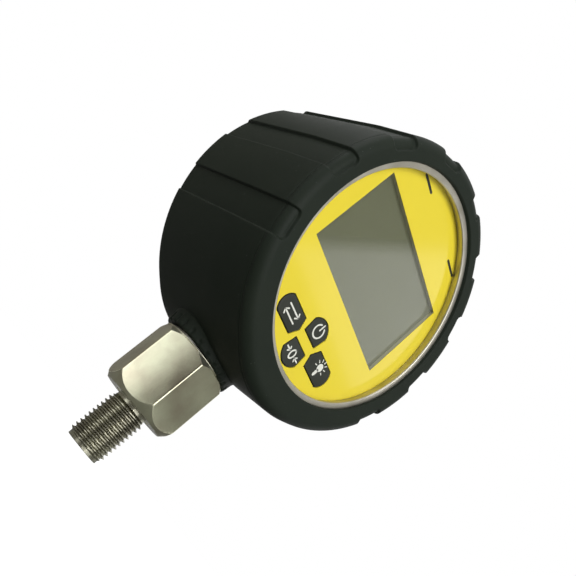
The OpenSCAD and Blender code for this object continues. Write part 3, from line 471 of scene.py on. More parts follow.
cover_head_r = 2
screws_low, screws_high = (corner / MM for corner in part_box("rear_screws"))
screws_x = screws_high.x - cover_head_r
screws_mid_z = (screws_low.z + screws_high.z) / 2
screw_set("rear_screw_set", "rear_screws", "gauge",
    [(x, screws_mid_z + z) for x in (-screws_x, screws_x) for z in (-screws_x, screws_x)],
    head_r=cover_head_r, head_h=1.2, dome_h=0.25, under_r=cover_head_r, shank_r=1.2)
door_head_r = 2.1
door_low, door_high = (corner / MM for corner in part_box("door_screws"))
door_screws_x = door_high.x - door_head_r
screw_set("door_screw_set", "door_screws", "door",
    [(x, (door_low.z + door_high.z) / 2) for x in (-door_screws_x, door_screws_x)],
    head_r=door_head_r, head_h=1.05, dome_h=0.1, under_r=1.2, shank_r=1.1)


# Cells: three slim dry cells, one above the other behind the battery door. Each is a steel can in a jacket
# of printed film, shrunk on.
def cell_jacket(name, copper_from_mm=12):
    """Shrunk film, dark with a copper coloured end, over the steel can."""
    made, tree, place = start(name)
    along = put(tree, "SeparateXYZ", {"Vector": place})
    end = put(tree, "Math", {0: along.outputs["X"], 1: copper_from_mm * MM}, operation="GREATER_THAN")
    film = put(tree, "Mix", {"Factor": end, 6: colour("23262B"), 7: colour("B0713A")}, data_type="RGBA")
    wrinkle = put(tree, "TexNoise", {"Vector": place, "Scale": per(5), "Detail": 3})
    shader = put(tree, "BsdfPrincipled", {
        "Base Color": film.outputs[2], "Metallic": 0.35,
        "Roughness": between(tree, wrinkle, 0.25, 0.4),
        "Normal": put(tree, "Bump", {"Height": wrinkle, "Strength": 0.3, "Distance": 0.05 * MM})})
    put(tree, "OutputMaterial", {"Surface": shader})
    return made


dress(cell_jacket("cell_shrink_film"), "cell_top", "cell_middle", "cell_bottom")


# Foam: a grey polyurethane pad, cut from sheet and glued inside the battery door, which keeps the cells
# from rattling. Its open pores give it a dull, grainy face, and their middles are painted darker as shade.
def open_foam(name):
    """Grey polyurethane foam with open pores, painted darker in their middles as shade."""
    made, tree, place = start(name)
    pores = put(tree, "TexVoronoi", {"Vector": place, "Scale": per(0.7)})
    # Painted shade: darker towards each pore's middle
    tint = put(tree, "Mix", {
        "Factor": between(tree, pores, 0, 1), 6: colour("3A3B3D"), 7: colour("6A6C6F")}, data_type="RGBA")
    shader = put(tree, "BsdfPrincipled", {
        "Base Color": tint.outputs[2], "Roughness": 0.95,
        "Normal": put(tree, "Bump", {"Height": pores, "Strength": 0.8, "Distance": 0.2 * MM})})
    put(tree, "OutputMaterial", {"Surface": shader})
    return made


dress(open_foam("polyurethane_foam"), "door_foam")

# Rear cover and battery door: black ABS, moulded, and screwed to the case from behind. A fine mould
# grain like leather gives it a soft, slightly uneven sheen.
textured_abs = moulded("abs_black_grained", "2A2C2D", 0.5, 0.45, 0.05, drift=0.2)
dress(textured_abs, "rear_cover", "battery_door")


# Display: glass with a grey green polariser, held in its frame on the board. It is off, so it looks
# blank, with a slow drift of tone and the soft sheen of the film.
def polariser(name):
    """Grey green film on glass, slightly cloudy."""
    made, tree, place = start(name)
    cloud = put(tree, "TexNoise", {"Vector": place, "Scale": per(18), "Detail": 3})
    grain = put(tree, "TexNoise", {"Vector": place, "Scale": per(0.2), "Detail": 2})
    tint = put(tree, "Mix", {"Factor": cloud, 6: colour("56583F"), 7: colour("5E6045")}, data_type="RGBA")
    shader = put(tree, "BsdfPrincipled", {
        "Base Color": tint.outputs[2], "Roughness": between(tree, grain, 0.3, 0.4), "IOR": 1.5})
    put(tree, "OutputMaterial", {"Surface": shader})
    return made


dress(polariser("polariser_grey_green"), "lcd_glass")


# Window: a clear acrylic pane set flush in the panel, polished on both faces. Its sawn edges are matt,
# and their olive grey is a painted reflection of the display and panel, so they show as a thin pale line
# round the display.
def clear_acrylic(name):
    """Bends light as acrylic does, with a few faint wipe marks, and lets it fall on the display behind."""
    made, tree, place = start(name)
    drawn_out = put(tree, "Mapping", {"Vector": place, "Scale": (1, 1, 6)})
    wipes = put(tree, "TexNoise", {"Vector": drawn_out, "Scale": per(3), "Detail": 4})
    shader = put(tree, "BsdfPrincipled", {
        "Base Color": colour("F4F6F2"), "Transmission Weight": 1.0, "IOR": 1.49,
        "Roughness": between(tree, wipes, 0.0, 0.05)})
    # Matt sawn edges: their olive grey is a painted reflection of the display and panel in the pane's
    # sides
    edge = put(tree, "BsdfDiffuse", {"Color": colour("A3A182")})
    normal = put(tree, "SeparateXYZ", {"Vector": put(tree, "NewGeometry").outputs["Normal"]})
    facing = put(tree, "Math", {0: normal.outputs["Y"]}, operation="ABSOLUTE")
    polished = put(tree, "Math", {0: facing, 1: 0.5}, operation="GREATER_THAN")
    pane = put(tree, "MixShader", {0: polished, 1: edge, 2: shader})
    path = put(tree, "LightPath")
    straight = put(tree, "Math", {
        0: path.outputs["Is Shadow Ray"], 1: path.outputs["Is Diffuse Ray"]}, operation="MAXIMUM")
    put(tree, "OutputMaterial", {"Surface": put(tree, "MixShader", {
        0: straight, 1: pane, 2: put(tree, "BsdfTransparent")})})
    return made


dress(clear_acrylic("acrylic_clear"), "lcd_window")


# Panel: polyester film printed yellow on its back and glued to the carrier, with a fine matt texture on
# its face. The ink is even, and the film over it gives a soft, nearly clear reflection.
def printed_film(name, code):
    """Even yellow ink under a fine matt film."""
    made, tree, place = start(name)
    grain = put(tree, "TexNoise", {"Vector": place, "Scale": per(0.25), "Detail": 3, "Roughness": 0.7})
    cloud = put(tree, "TexNoise", {"Vector": place, "Scale": per(22), "Detail": 3})
    base = colour(code)
    deep = [base[0] * 0.96, base[1] * 0.94, base[2] * 0.9, 1]
    tint = put(tree, "Mix", {"Factor": cloud, 6: deep, 7: base}, data_type="RGBA")
    shader = put(tree, "BsdfPrincipled", {
        "Base Color": tint.outputs[2],
        "Roughness": between(tree, grain, 0.07, 0.12),
        "IOR": 1.5,
        "Normal": put(tree, "Bump", {"Height": grain, "Strength": 0.2, "Distance": 0.002 * MM})})
    put(tree, "OutputMaterial", {"Surface": shader})
    return made


dress(printed_film("polyester_film_yellow", "E2CF3A"), "dial_overlay")

# Marks on the panel: two short black rules, level with each other, screen printed on the film near its
# top edge in a thin matt ink.
bezel_low, bezel_high = (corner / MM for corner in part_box("bezel_ring"))
front_y = bezel_low.y
dial_z = (bezel_low.z + bezel_high.z) / 2


def on_dial(x, up, depth):
    """A point of the gauge's face: across, above the dial's centre, and behind the bezel's front."""
    return x, front_y + depth, dial_z + up


def plates(outlines, near, far):
    """Flat prisms from one depth to another, as points and faces, one for each outline."""
    points, faces = [], []
    for outline in outlines:
        n, base = len(outline), len(points)
        points += [on_dial(x, up, near) for x, up in outline]
        points += [on_dial(x, up, far) for x, up in outline]
        faces += [list(range(base, base + n)), list(range(base + 2 * n - 1, base + n - 1, -1))]
        faces += [[base + i, base + (i + 1) % n, base + n + (i + 1) % n, base + n + i] for i in range(n)]
    return points, faces


def stroke(path, width, ends=6):
    """The outline of a line with round ends drawn along a path."""
    path = [Vector(p) for p in path]
    headings = [(b - a).normalized() for a, b in zip(path, path[1:])]
    bends = [(a + b).normalized() for a, b in zip(headings, headings[1:])]
    headings = [headings[0], *bends, headings[-1]]
    sides = [Vector((-h.y, h.x)) * width / 2 for h in headings]
    outline = [p + s for p, s in zip(path, sides)]
    for end, side in ((path[-1], sides[-1]), (path[0], -sides[0])):
        for i in range(1, ends):
            turn = -math.pi * i / ends
            outline.append(end + Matrix.Rotation(turn, 2) @ side)
        if end == path[-1]:
            outline += [p - s for p, s in zip(path[::-1], sides[::-1])]
    return outline


def arc(x, up, radius, start_deg, end_deg, steps=24):
    """Points along an arc, from one angle to another, in degrees from the right."""
    angles = np.radians(np.linspace(start_deg, end_deg, steps))
    return [(x + radius * math.cos(a), up + radius * math.sin(a)) for a in angles]


panel_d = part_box("dial_overlay")[0].y / MM - front_y
print_t = 0.03
rule_up = 32
rule_w = 0.95
rules = [stroke([(left, rule_up), (right, rule_up)], rule_w) for left, right in ((-21, -14), (14.5, 21.4))]
# Screen printing ink, black: a thin matt layer with pinholes too fine to see
ink_black = moulded("screen_ink_black", "1A1B16", 0.5, 0.3, 0.003, shine=0.2)
solid("panel_rules", *plates(rules, panel_d - print_t, panel_d), ink_black, "gauge", "overlay_film")

# Keys: moulded charcoal plastic pads, rounded at the edge, that stand just proud of the panel.
# Each is printed with a pale sign, and moves in with the switch button behind it.
key_d = (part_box("key_power")[0] / MM).y - front_y
key_t = 1.6
key_edge = 0.3
key_play = 0.12
cluster_up = -27.3
side_key_h = 7.1
side_key_in = 5.5
side_key_l = 13.8
side_key_point = 1.7
side_key_bulge = 2.1
mid_key_w = 9.8
mid_key_flat_w = 8.4
mid_key_h = 7.4
mid_key_dome = 2.8
mid_key_gap = 3.5


def side_key(way):
    """Outline of a side key: pointed inside, with a slightly domed outer end."""
    h = side_key_h / 2
    radius = (h * h + side_key_bulge ** 2) / (2 * side_key_bulge)
    half = math.degrees(math.asin(h / radius))
    points = [(0, 0), (side_key_point, -h)]
    points += arc(side_key_l - radius, 0, radius, -half, half, 16)
    points += [(side_key_point, h)]
    return [(way * (side_key_in + x), cluster_up + up) for x, up in points]


def middle_key(way):
    """Outline of a middle key: flat towards the middle, domed outside."""
    w = mid_key_w / 2
    radius = (w * w + mid_key_dome ** 2) / (2 * mid_key_dome)
    half = math.degrees(math.asin(w / radius))
    points = [(-mid_key_flat_w / 2, 0), (mid_key_flat_w / 2, 0)]
    points += arc(0, mid_key_h - radius, radius, 90 - half, 90 + half, 20)
    return [(x, cluster_up + way * (mid_key_gap / 2 + up)) for x, up in points]


def pad(outline, near, far, edge):
    """A plate whose front edge is rounded, as points and faces."""
    ring = [Vector(p) for p in outline]
    n = len(ring)
    area = sum(a.x * b.y - b.x * a.y for a, b in zip(ring, ring[1:] + ring[:1]))
    inward = []
    for i in range(n):
        before = (ring[i] - ring[i - 1]).normalized()
        after = (ring[(i + 1) % n] - ring[i]).normalized()
        normals = [Vector((-v.y, v.x)) * (1 if area > 0 else -1) for v in (before, after)]
        middle = (normals[0] + normals[1]).normalized()
        inward.append(middle / max(middle.dot(normals[0]), 0.4))
    points, faces = [], []
    levels = [
        (edge * (1 - math.sin(t)), near + edge * (1 - math.cos(t)))
        for t in np.radians([0, 22, 45, 67, 90])]
    for inset, depth in levels + [(0, far)]:
        points += [on_dial(*(p + v * (key_play + inset)), depth) for p, v in zip(ring, inward)]
    for row in range(len(levels)):
        faces += [[row * n + i, row * n + (i + 1) % n, (row + 1) * n + (i + 1) % n, (row + 1) * n + i]
            for i in range(n)]
    faces += [list(range(n)), list(range(len(points) - 1, len(points) - n - 1, -1))]
    return points, faces


# Polycarbonate, spark textured: nearly black with a green cast and a soft sheen
key_plastic = moulded("polycarbonate_charcoal", "1F231A", 0.5, 0.25, 0.012, shine=0.17)
# Pad printing ink, pale grey
ink_pale = moulded("pad_ink_pale", "DADBD2", 0.5, 0.3, 0.003, drift=0.05)

# Signs: an open ring with a bar for the power key, and a lamp with seven rays for the backlight key
sign_w = 0.55
power_up = -21.9
power_r = 2.2
power_bar = (0.5, 2.7)
power_sign = [
    stroke(arc(0, power_up, power_r, 60, -240, 30), sign_w),
    stroke([(0, power_up + end) for end in power_bar], sign_w)]

bulb_x = 12.4
bulb_up = -26.4
bulb_r = 1.35
bulb_neck = (-1.3, -2.9)
bulb_neck_w = 1.2
ray_reach = (1.95, 2.8)
ray_w = 0.32
ray_pitch = 35
around_bulb = np.radians(np.arange(0, 360, 15))
bulb_sign = [
    [(bulb_x + bulb_r * math.cos(a), bulb_up + bulb_r * math.sin(a)) for a in around_bulb],
    stroke([(bulb_x, bulb_up + end) for end in bulb_neck], bulb_neck_w, ends=3)]
for ray in range(-3, 4):
    turn = math.radians(90 + ray_pitch * ray)
    ray_ends = [(bulb_x + reach * math.cos(turn), bulb_up + reach * math.sin(turn)) for reach in ray_reach]
    bulb_sign.append(stroke(ray_ends, ray_w, ends=3))


def arrow(x, up, way, length, width=0.5, head=1.0):
    """A plain arrow along x, as a shaft and two barbs."""
    tip = x + way * length
    return [
        stroke([(x, up), (tip, up)], width),
        stroke([(tip - way * head, up + head), (tip, up), (tip - way * head, up - head)], width)]


# Signs of the other keys: two opposite arrows for the unit, and a nought between two arrows for zero
unit_x = -12.6
unit_start = 3.4
unit_off = 1.1
unit_arrow_l = 6.6
unit_sign = [
    *arrow(unit_x - unit_start, cluster_up + unit_off, 1, unit_arrow_l),
    *arrow(unit_x + unit_start, cluster_up - unit_off, -1, unit_arrow_l)]

zero_up = -32.6
zero_half_w = 1.0
zero_half_h = 1.5
zero_start = 3.9
zero_arrow_l = 2.1
zero_arrow_head = 0.8
zero_ring = [
    (zero_half_w * math.cos(a), zero_up + zero_half_h * math.sin(a))
    for a in np.radians(np.linspace(90, 443, 26))]
zero_sign = [
    stroke(zero_ring, sign_w),
    *arrow(-zero_start, zero_up, 1, zero_arrow_l, head=zero_arrow_head),
    *arrow(zero_start, zero_up, -1, zero_arrow_l, head=zero_arrow_head)]

for key, outline, sign in (
        ("unit", side_key(-1), unit_sign), ("power", middle_key(1), power_sign),
        ("zero", middle_key(-1), zero_sign), ("backlight", side_key(1), bulb_sign)):
    solid(f"pad_{key}", *pad(outline, key_d, key_d + key_t, key_edge), key_plastic,
        f"{key}_key", "key_plastic", [f"key_{key}"])
    solid(f"sign_{key}", *plates(sign, key_d - print_t, key_d + print_t), ink_pale,
        f"{key}_key", "key_plastic")

# Bezel: a pressed and turned stainless ring, satin finished, that clamps the panel on the case.
# Its inner edge is rounded over and its wall widens towards the panel.
bezel_in_r = 38.1
bezel_out_r = bezel_high.x
bezel_skirt_r = 42.1
bezel_lip_t = 3.4
bezel_end_d = bezel_high.y - bezel_low.y
bezel_round = 0.6
bezel_flare = 0.9
bezel_edge = 0.3


def turned(name, profile, columns, made, slot, stands_for):
    """A ring turned round the dial's axis from a closed outline of radius and depth."""
    angles = np.arange(columns) * math.tau / columns
    points = [on_dial(r * math.sin(a), r * math.cos(a), d) for r, d in profile for a in angles]
    solid(name, points, loop_faces(len(profile), columns), made, "gauge", slot, stands_for)


round_over = [
    (bezel_in_r + bezel_round * (1 - math.cos(t)), bezel_round * (1 - math.sin(t)))
    for t in np.radians(np.linspace(0, 90, 9))]
bezel_profile = [
    (bezel_in_r + bezel_flare, bezel_lip_t), *round_over,
    (bezel_out_r - bezel_edge, 0),
    (bezel_out_r - bezel_edge * 0.3, bezel_edge * 0.3),
    (bezel_out_r, bezel_edge),
    (bezel_out_r, bezel_end_d), (bezel_skirt_r, bezel_end_d), (bezel_skirt_r, bezel_lip_t)]
# Stainless steel, satin: fine rings that run round the dial
satin_steel = metal("stainless_steel_satin", "C2BEB2", "A9A598", 0.4, 0.4, (1, 1, 1), 0.002)
turned("bezel_steel", bezel_profile, 192, satin_steel, "bezel_steel", ["bezel_ring"])

# Boot: one moulding of soft black rubber, stretched over the case. Nine grip channels run from its front
# edge to its rear rim, a fine parting line follows the front rounding, and its lower part thickens
# towards the collar.
boot_low, boot_high = (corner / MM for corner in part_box("rubber_boot"))
boot_r = boot_high.x
boot_front_d = boot_low.y - front_y
boot_rim_d = boot_high.y - front_y
boot_front_r = 40.1
boot_rear_r = 40.2
boot_front_round = 3.6
boot_rear_round = 1.2
boot_lip_round = 0.35
boot_taper = 1.65
boot_taper_d = 18
boot_slope = boot_taper / (boot_rim_d - boot_rear_round - boot_taper_d)
parting_w = 0.4
parting_deep = 0.14
channel_n = 9
channel_pitch = math.radians(28.5)
channel_w = 9.2
channel_deep = 0.95
channel_end_r = 44
channel_corner = 2
channel_soft = 0.25
fine_from_r = 43
fine_row = 0.12
swell_r = 40.1
swell_down = 8.8
swell_blend = 0.02
swell_start = 0.6
swell_in_r = 41.5
swell_in_w = 2.5
mouth_shift = Vector((0.2, 0.4))
front_shift = Vector((0.45, -0.5))
rear_shift = Vector((0.45, -1.45))
mouth_r = 41
mouth_w = 3
case_back_d = 48.1
case_hole_r = 42.1
bezel_hole_r = 43.15
bezel_hole_d = 9.1


def boot_side_r(depth):
    """The boot's outer radius at a depth, before channels and swelling."""
    return boot_r - boot_slope * max(depth - boot_taper_d, 0)


def boot_profile():
    """Rows of radius, depth and outward direction, from the front opening over the side to the rear."""
    inner = boot_front_r + boot_lip_round
    for t in np.radians(np.linspace(0, 90, 4)):
        yield (inner - boot_lip_round * math.cos(t), boot_front_d + boot_lip_round * (1 - math.sin(t)),
            -math.cos(t), -math.sin(t))
    flat_r = boot_r - boot_front_round
    wide_rows = np.linspace(inner + 0.4, fine_from_r, 5)
    fine_rows = np.arange(fine_from_r + 0.3, flat_r - 0.05, fine_row)
    for r in (*wide_rows, *fine_rows):
        yield r, boot_front_d, 0, -1
    for t in np.radians(np.linspace(0, 90, 25)):
        yield (flat_r + boot_front_round * math.sin(t),
            boot_front_d + boot_front_round * (1 - math.cos(t)), math.sin(t), -math.cos(t))
    side_d = boot_front_d + boot_front_round
    for share in (0.2, 0.4, 0.5, 0.6, 0.8):
        sunk = parting_deep * math.sin(math.pi * share) ** 2
        yield boot_r - sunk, side_d + parting_w * share, 1, 0
    for depth in (side_d + parting_w, 4, 6, 9, 12, 15, *np.linspace(boot_taper_d, 49.4, 12)):
        yield boot_side_r(depth), depth, 1, 0
    rear_r = boot_side_r(boot_rim_d - boot_rear_round)
    for t in np.radians(np.linspace(0, 90, 7)):
        yield (rear_r - boot_rear_round * (1 - math.cos(t)),
            boot_rim_d - boot_rear_round * (1 - math.sin(t)), 1, 0)
    for r in (44.3, 43.6, 42.5, boot_rear_r + boot_lip_round):
        yield r, boot_rim_d, 1, 0
    yield boot_rear_r, boot_rim_d - boot_lip_round, 1, 0
    for r, depth in ((boot_rear_r, case_back_d), (case_hole_r, case_back_d), (case_hole_r, bezel_hole_d),
            (bezel_hole_r, bezel_hole_d), (bezel_hole_r, 0), (boot_front_r, 0)):
        yield r, depth, 0, 0


# Directions round the drum: close together at the channels' edges and wider between them
half_w = channel_w / 2
across = np.array([
    0, 0.8, 1.6, 2.2, 2.7, 3.1, 3.5, 3.8, 4.1, 4.32, 4.44, 4.52, 4.6, 4.68, 4.76, 4.88, 5.1, 5.5])
around = np.concatenate([np.arcsin(across / boot_r), np.radians([8, 9.8, 11.6, 13])])
around = np.concatenate([-around[:0:-1], around])
channel_at = [(i - (channel_n - 1) / 2) * channel_pitch for i in range(channel_n)]
last = channel_at[-1] + channel_pitch / 2
spare = np.linspace(last, math.tau - last, 48)
centres = np.concatenate([np.full(len(around), c) for c in channel_at] + [np.zeros(len(spare))])
offsets = np.concatenate([around] * channel_n + [spare])
in_channel = np.concatenate([np.ones(len(around) * channel_n), np.zeros(len(spare))])


def ease(x):
    """A smooth step from 0 to 1."""
    x = np.clip(x, 0, 1)
    return x * x * (3 - 2 * x)


def shift(r, depth):
    """How far the soft boot sits off the dial's centre. It hangs down, more towards the rear."""
    outer = front_shift.lerp(rear_shift, max(depth, 0) / boot_rim_d)
    return mouth_shift.lerp(outer, float(ease((r - mouth_r) / mouth_w)))


def swelling(angles):
    """How far the thicker lower part stands out from the drum in each direction."""
    along = -swell_down * np.cos(angles)
    reach = along + np.sqrt(swell_r ** 2 - swell_down ** 2 + along ** 2)
    extra = reach - boot_r
    blended = 0.5 * (extra + np.sqrt(extra ** 2 + swell_blend))
    return blended * ease((extra + swell_start) / swell_start)


# Each row's directions keep the channels' sides parallel. A channel ends on the front face in round
# corners, so its depth follows the distance from a rounded outline.
parallel_to = math.radians(7)
parallel_fade = math.radians(6)
least_r = 40
boot_points = []
for r, depth, out_r, out_d in boot_profile():
    outside = 1 if out_r or out_d else 0
    pull = 1 - ease((np.abs(offsets) - parallel_to) / parallel_fade)
    straight = np.arcsin(np.clip(boot_r * np.sin(offsets) / max(r, least_r), -1, 1))
    turn = centres + np.where(in_channel > 0, offsets + (straight - offsets) * pull, offsets)
    wide = np.abs(r * np.sin(turn - centres))
    past_side = wide - half_w + channel_corner
    past_end = channel_end_r - r + channel_corner
    edge = np.hypot(np.maximum(past_side, 0), max(past_end, 0))
    edge = edge + np.minimum(np.maximum(past_side, past_end), 0) - channel_corner
    sunk = in_channel * channel_deep * ease(0.5 - edge / (2 * channel_soft)) * outside
    if depth > boot_rim_d - boot_rear_round:
        radius = np.minimum(r, boot_side_r(depth) - sunk)
        place_d = np.full(len(turn), float(depth))
    else:
        radius = r - out_r * sunk
        place_d = depth - out_d * sunk
    radius = radius + swelling(turn) * ease((r - swell_in_r) / swell_in_w) * outside
    off = shift(r, depth) * outside
    boot_points += [
        on_dial(q * math.sin(a) + off.x, q * math.cos(a) + off.y, d)
        for q, a, d in zip(radius, turn, place_d)]

boot_faces = loop_faces(len(boot_points) // len(centres), len(centres))

# Collar: part of the same moulding as the drum. It hugs the socket, is ribbed for grip, leans a little,
# and sweeps out into the drum.
collar_low_z = boot_low.z
collar_low_r = 14.2
collar_slope = 0.8 / 10.4
collar_bore_r = 11.6
collar_lip = 0.5
rib_n = 22
rib_w = 1.1
rib_deep = 0.6
rib_soft = 0.5
rib_fade = 1.1
rim_mean_z = 42.9
rim_lean = 0.9
rim_high_turn = math.radians(165)
rim_row = 0.15
lip_share = 0.6
sweep_share = 0.55
sweep_most = 2.6
sweep_reach = 2.2
sweep_more = 0.35
sweep_rows = 12
pull_out = 0.15
pull_up = 0.1
tuck_in = 0.3
tuck_up = 0.5
inside_up = 2
drum_low_z = 48
stem_d = -front_y
swell_z = dial_z - swell_down


def drum_z(x, y):
    """Height of the drum's underside above a point beside the stem."""
    r = swell_r - boot_slope * max(stem_d + y - boot_taper_d, 0)
    off = shift(r, stem_d + y)
    return swell_z + off.y - math.sqrt(r * r - (x - off.x) ** 2)


def collar_r(z):
    """The collar's outer radius at a height. It widens a little towards the drum."""
    return collar_low_r + collar_slope * (z - collar_low_z)


# Each column goes up the ribbed side and then sweeps out in a curve until it is just inside the drum.
# The height at which the side would meet the drum is found by trying again from the last result.
collar_columns = rib_n * 12
collar_points = []
for j in range(collar_columns):
    turn = math.tau * j / collar_columns
    ex, ey = math.cos(turn), math.sin(turn)
    rim_z = rim_mean_z + rim_lean * math.cos(turn - rim_high_turn)
    meet = drum_low_z
    for _ in range(12):
        r = collar_r(meet)
        meet = drum_z(r * ex, r * ey)
    room = meet - rim_z
    start_z = meet - min(sweep_share * room, sweep_most)
    start_r = collar_r(start_z)
    end_r = collar_low_r + (sweep_reach + sweep_more * room)
    end_z = drum_z(end_r * ex, end_r * ey)
    off_rib = abs((turn * rib_n / math.tau) % 1 - 0.5) * math.tau * collar_low_r / rib_n
    groove = (1 - ease((off_rib - rib_w / 2 + rib_soft / 2) / rib_soft)) * rib_deep
    column = [(collar_bore_r, rim_z), (collar_low_r - collar_lip - groove, rim_z)]
    for share in np.linspace(0, 1, 9):
        z = rim_z + rim_row + (start_z - rim_z - rim_row) * share
        lip = collar_lip * (1 - ease((z - rim_z) / collar_lip)) * lip_share
        fade = 1 - ease((z - start_z + rib_fade) / rib_fade)
        column.append((collar_r(z) - lip - groove * fade, z))
    for i in range(1, sweep_rows + 1):
        t = i / sweep_rows
        column.append((
            (1 - t) ** 2 * start_r + 2 * t * (1 - t) * (start_r + pull_out) + t * t * end_r,
            (1 - t) ** 2 * start_z + 2 * t * (1 - t) * (meet + pull_up) + t * t * end_z))
    column += [(end_r + tuck_in, end_z + tuck_up), (collar_bore_r, meet + inside_up)]
    collar_points += [(r * ex, r * ey, z) for r, z in column]

collar_faces = loop_faces(collar_columns, len(collar_points) // collar_columns)
boot_faces += [[i + len(boot_points) for i in face] for face in collar_faces]


def boot_rubber(name):
    """Soft black rubber: matt, with a fine mould grain, slight shine from handling and specks of dust."""
    made, tree, place = start(name)
    grain = put(tree, "TexNoise", {"Vector": place, "Scale": per(0.35), "Detail": 4, "Roughness": 0.65})
    cloud = put(tree, "TexNoise", {"Vector": place, "Scale": per(16), "Detail": 5, "Roughness": 0.6})
    dust = put(tree, "TexVoronoi", {"Vector": place, "Scale": per(2.6)}, feature="F1")
    speck = put(tree, "MapRange", {
        "Value": dust.outputs["Distance"],
        "From Min": 0.04, "From Max": 0.075, "To Min": 0.4, "To Max": 0})
    tint = put(tree, "Mix", {"Factor": cloud, 6: colour("141B15"), 7: colour("1E241C")}, data_type="RGBA")
    dusted = put(tree, "Mix", {"Factor": speck, 6: tint.outputs[2], 7: colour("4E524E")}, data_type="RGBA")
    shader = put(tree, "BsdfPrincipled", {
        "Base Color": dusted.outputs[2],
        "Roughness": between(tree, cloud, 0.5, 0.62),
        "Specular IOR Level": 0.13,
        "Normal": put(tree, "Bump", {"Height": grain, "Strength": 0.35, "Distance": 0.04 * MM})})
    put(tree, "OutputMaterial", {"Surface": shader})
    return made


solid("boot_rubber", boot_points + collar_points, boot_faces, boot_rubber("silicone_rubber_black"),
    "gauge", "boot_rubber", ["rubber_boot"], sharp=60)

# Studio: a pale floor that the thread's tip stands on, a white surround and three soft lamps. Cards that
# only reflections show stand round the gauge, as in a photo studio: they give the panel and the display
# their sheen and the steel its light and dark bands.
def card(name, corners, made, lights=True, shades=True):
    """A card, by its corners in millimetres. It may light matt surfaces, cast a shadow, or neither."""
    mesh = bpy.data.meshes.new(name)
    mesh.from_pydata([Vector(c) * MM for c in corners], [], [list(range(len(corners)))])
    mesh.materials.append(made)
    held = bpy.data.objects.new(name, mesh)
    held.visible_camera = False
    held.visible_diffuse = lights
    held.visible_shadow = shades
    bpy.context.scene.collection.objects.link(held)
    return held


def background_rays(tree):
    """1 for the rays that show the background: straight to the camera, and by metal, gloss and glass."""
    path = put(tree, "LightPath")
    shown = put(tree, "Math", {
        0: path.outputs["Is Camera Ray"], 1: path.outputs["Is Transmission Ray"]}, operation="MAXIMUM")
    return put(tree, "Math", {0: shown, 1: path.outputs["Is Glossy Ray"]}, operation="MAXIMUM")


near_m = 0.4
far_m = 1.2


def paper(name, code, lift=0, far_lift=0):
    """Matt paper, seen lifted towards white: by lift near the gauge, and by far_lift far from it."""
    made, tree, place = start(name)
    base = colour(code)
    fibre = put(tree, "TexNoise", {"Vector": place, "Scale": per(3), "Detail": 2})
    deep = [c * 0.97 for c in base[:3]] + [1]
    tint = put(tree, "Mix", {"Factor": fibre, 6: deep, 7: base}, data_type="RGBA")
    matt = put(tree, "BsdfDiffuse", {"Color": tint.outputs[2]})
    away = put(tree, "VectorMath", {0: place}, operation="LENGTH").outputs["Value"]
    raised = put(tree, "MapRange", {
        "Value": away, "From Min": near_m, "From Max": far_m, "To Min": lift, "To Max": far_lift})
    seen = put(tree, "Math", {0: background_rays(tree), 1: raised}, operation="MULTIPLY")
    glow = put(tree, "Emission", {"Strength": seen})
    put(tree, "OutputMaterial", {"Surface": put(tree, "AddShader", {0: matt, 1: glow})})
    return made


def light_cloth(name, strength, fades=()):
    """White cloth lit from behind. Each fade dims it along a direction, between two distances."""
    made, tree, place = start(name)
    weave = put(tree, "TexNoise", {"Vector": place, "Scale": per(60), "Detail": 2})
    bright = between(tree, weave, strength * 0.93, strength * 1.07)
    for way, from_mm, to_mm, keep in fades:
        along = put(tree, "VectorMath", {0: place, 1: way}, operation="DOT_PRODUCT").outputs["Value"]
        fade = put(tree, "MapRange", {
            "Value": along, "From Min": from_mm * MM, "From Max": to_mm * MM, "To Min": 1, "To Max": keep})
        bright = put(tree, "Math", {0: bright, 1: fade}, operation="MULTIPLY")
    put(tree, "OutputMaterial", {"Surface": put(tree, "Emission", {"Strength": bright})})
    return made


def square(half, z):
    """The corners of a level square."""
    return [(x * half, y * half, z) for x, y in ((-1, -1), (1, -1), (1, 1), (-1, 1))]


# Floor of white paper
floor_half = 3000
floor_z = -0.05
floor = card("floor", square(floor_half, floor_z), paper("floor_paper_white", "A8A8A5", 0.88, 1.0))
floor.visible_camera = True

# Soft box before a grey card, in front of the gauge on its right. Its slanted edge fades, and is the soft
# border between the display's dark and light halves.
box_y = -427
box_corners = ((269, 266), (521, 568), (760, 420), (700, 262))
box_fade = ((0.768, 0, -0.641), 57, 39, 0.25)
card("soft_box", [(x, box_y, z) for x, z in box_corners],
    light_cloth("soft_box_cloth", 1.35, [box_fade]), lights=False, shades=False)
grey_y = box_y - 5
grey_corners = ((190, 2), (190, 900), (1200, 900), (1200, 2))
card("grey_card", [(x, grey_y, z) for x, z in grey_corners], paper("grey_board", "CFCFC9"))


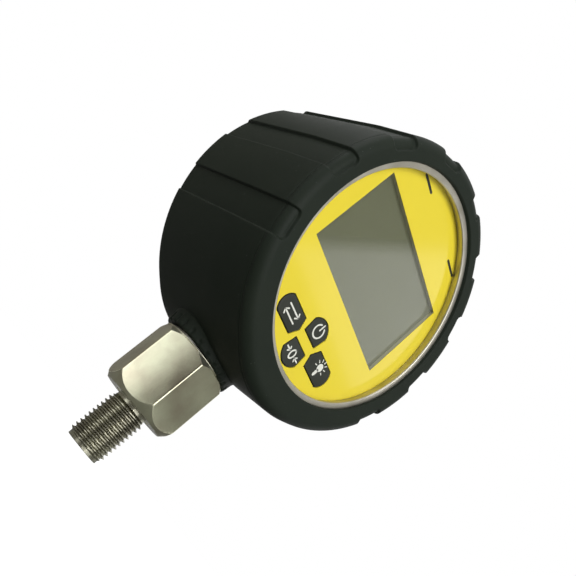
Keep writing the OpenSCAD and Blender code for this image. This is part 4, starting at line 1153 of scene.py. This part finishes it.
def upright(name, from_deg, to_deg, distance, high, made, **held):
    """A card that stands on the floor and faces the stem, between two directions seen from above."""
    low = 2
    ends = [Vector((math.cos(a), math.sin(a), 0)) * distance for a in np.radians([from_deg, to_deg])]
    card(name, [ends[0] + Vector((0, 0, low)), ends[1] + Vector((0, 0, low)),
        ends[1] + Vector((0, 0, high)), ends[0] + Vector((0, 0, high))], made, **held)


# Cards round the stem: a bright one on the left for the hexagon's left flat, which fades upwards and to
# the front, a dark one beside it, a grey one behind, a mat under the stem that only the thread and the
# chamfers reflect, and a narrow bright strip in front for the thread
left_fades = [((0, 0, 1), 45, 125, 0.55), ((0, 1, 0), -20, -150, 0.6)]
upright("left_box", 172, 198, 480, 260, light_cloth("left_box_cloth", 2.65, left_fades))
upright("black_card", 198, 252, 480, 260, paper("black_board", "726D65"), shades=False)
upright("rear_card", 60, 171, 480, 330, paper("grey_board_rear", "AFABA3"), lights=False, shades=False)
mat_half = 220
card("dark_mat", square(mat_half, floor_z / 2), paper("grey_felt", "8C8C88"), lights=False, shades=False)
upright("strip_box", 254, 297, 520, 220, light_cloth("strip_box_cloth", 2.7), shades=False)

# Surround: it lights the gauge a little from all sides, and shows as white
surround_light = 0.25
surround_seen = 1.0
world = bpy.data.worlds.new("studio")
bpy.context.scene.world = world
world.use_nodes = True
tree = world.node_tree
tree.nodes.clear()
put(tree, "OutputWorld", {"Surface": put(tree, "MixShader", {
    0: background_rays(tree),
    1: put(tree, "Background", {"Color": (1, 1, 1, 1), "Strength": surround_light}),
    2: put(tree, "Background", {"Color": (1, 1, 1, 1), "Strength": surround_seen})})})

aim = Vector(on_dial(0, -15, 25)) * MM


def lamp(name, way, distance, size, watts):
    """A square soft lamp in one direction from the gauge, facing it. Distance and size are in metres."""
    light = bpy.data.lights.new(name, "AREA")
    light.shape = "SQUARE"
    light.size = size
    light.energy = watts
    held = bpy.data.objects.new(name, light)
    held.location = aim + Vector(way).normalized() * distance
    held.rotation_mode = "QUATERNION"
    held.rotation_quaternion = (aim - held.location).to_track_quat("-Z", "Y")
    bpy.context.scene.collection.objects.link(held)


lamp("top_lamp", (-0.71, 0.2, 0.66), 0.9, 0.6, 2.7)
lamp("front_lamp", (-0.35, -0.85, 0.12), 1.0, 0.6, 9.3)
lamp("rear_lamp", (0.45, 0.85, 0.4), 1.0, 0.5, 3.0)
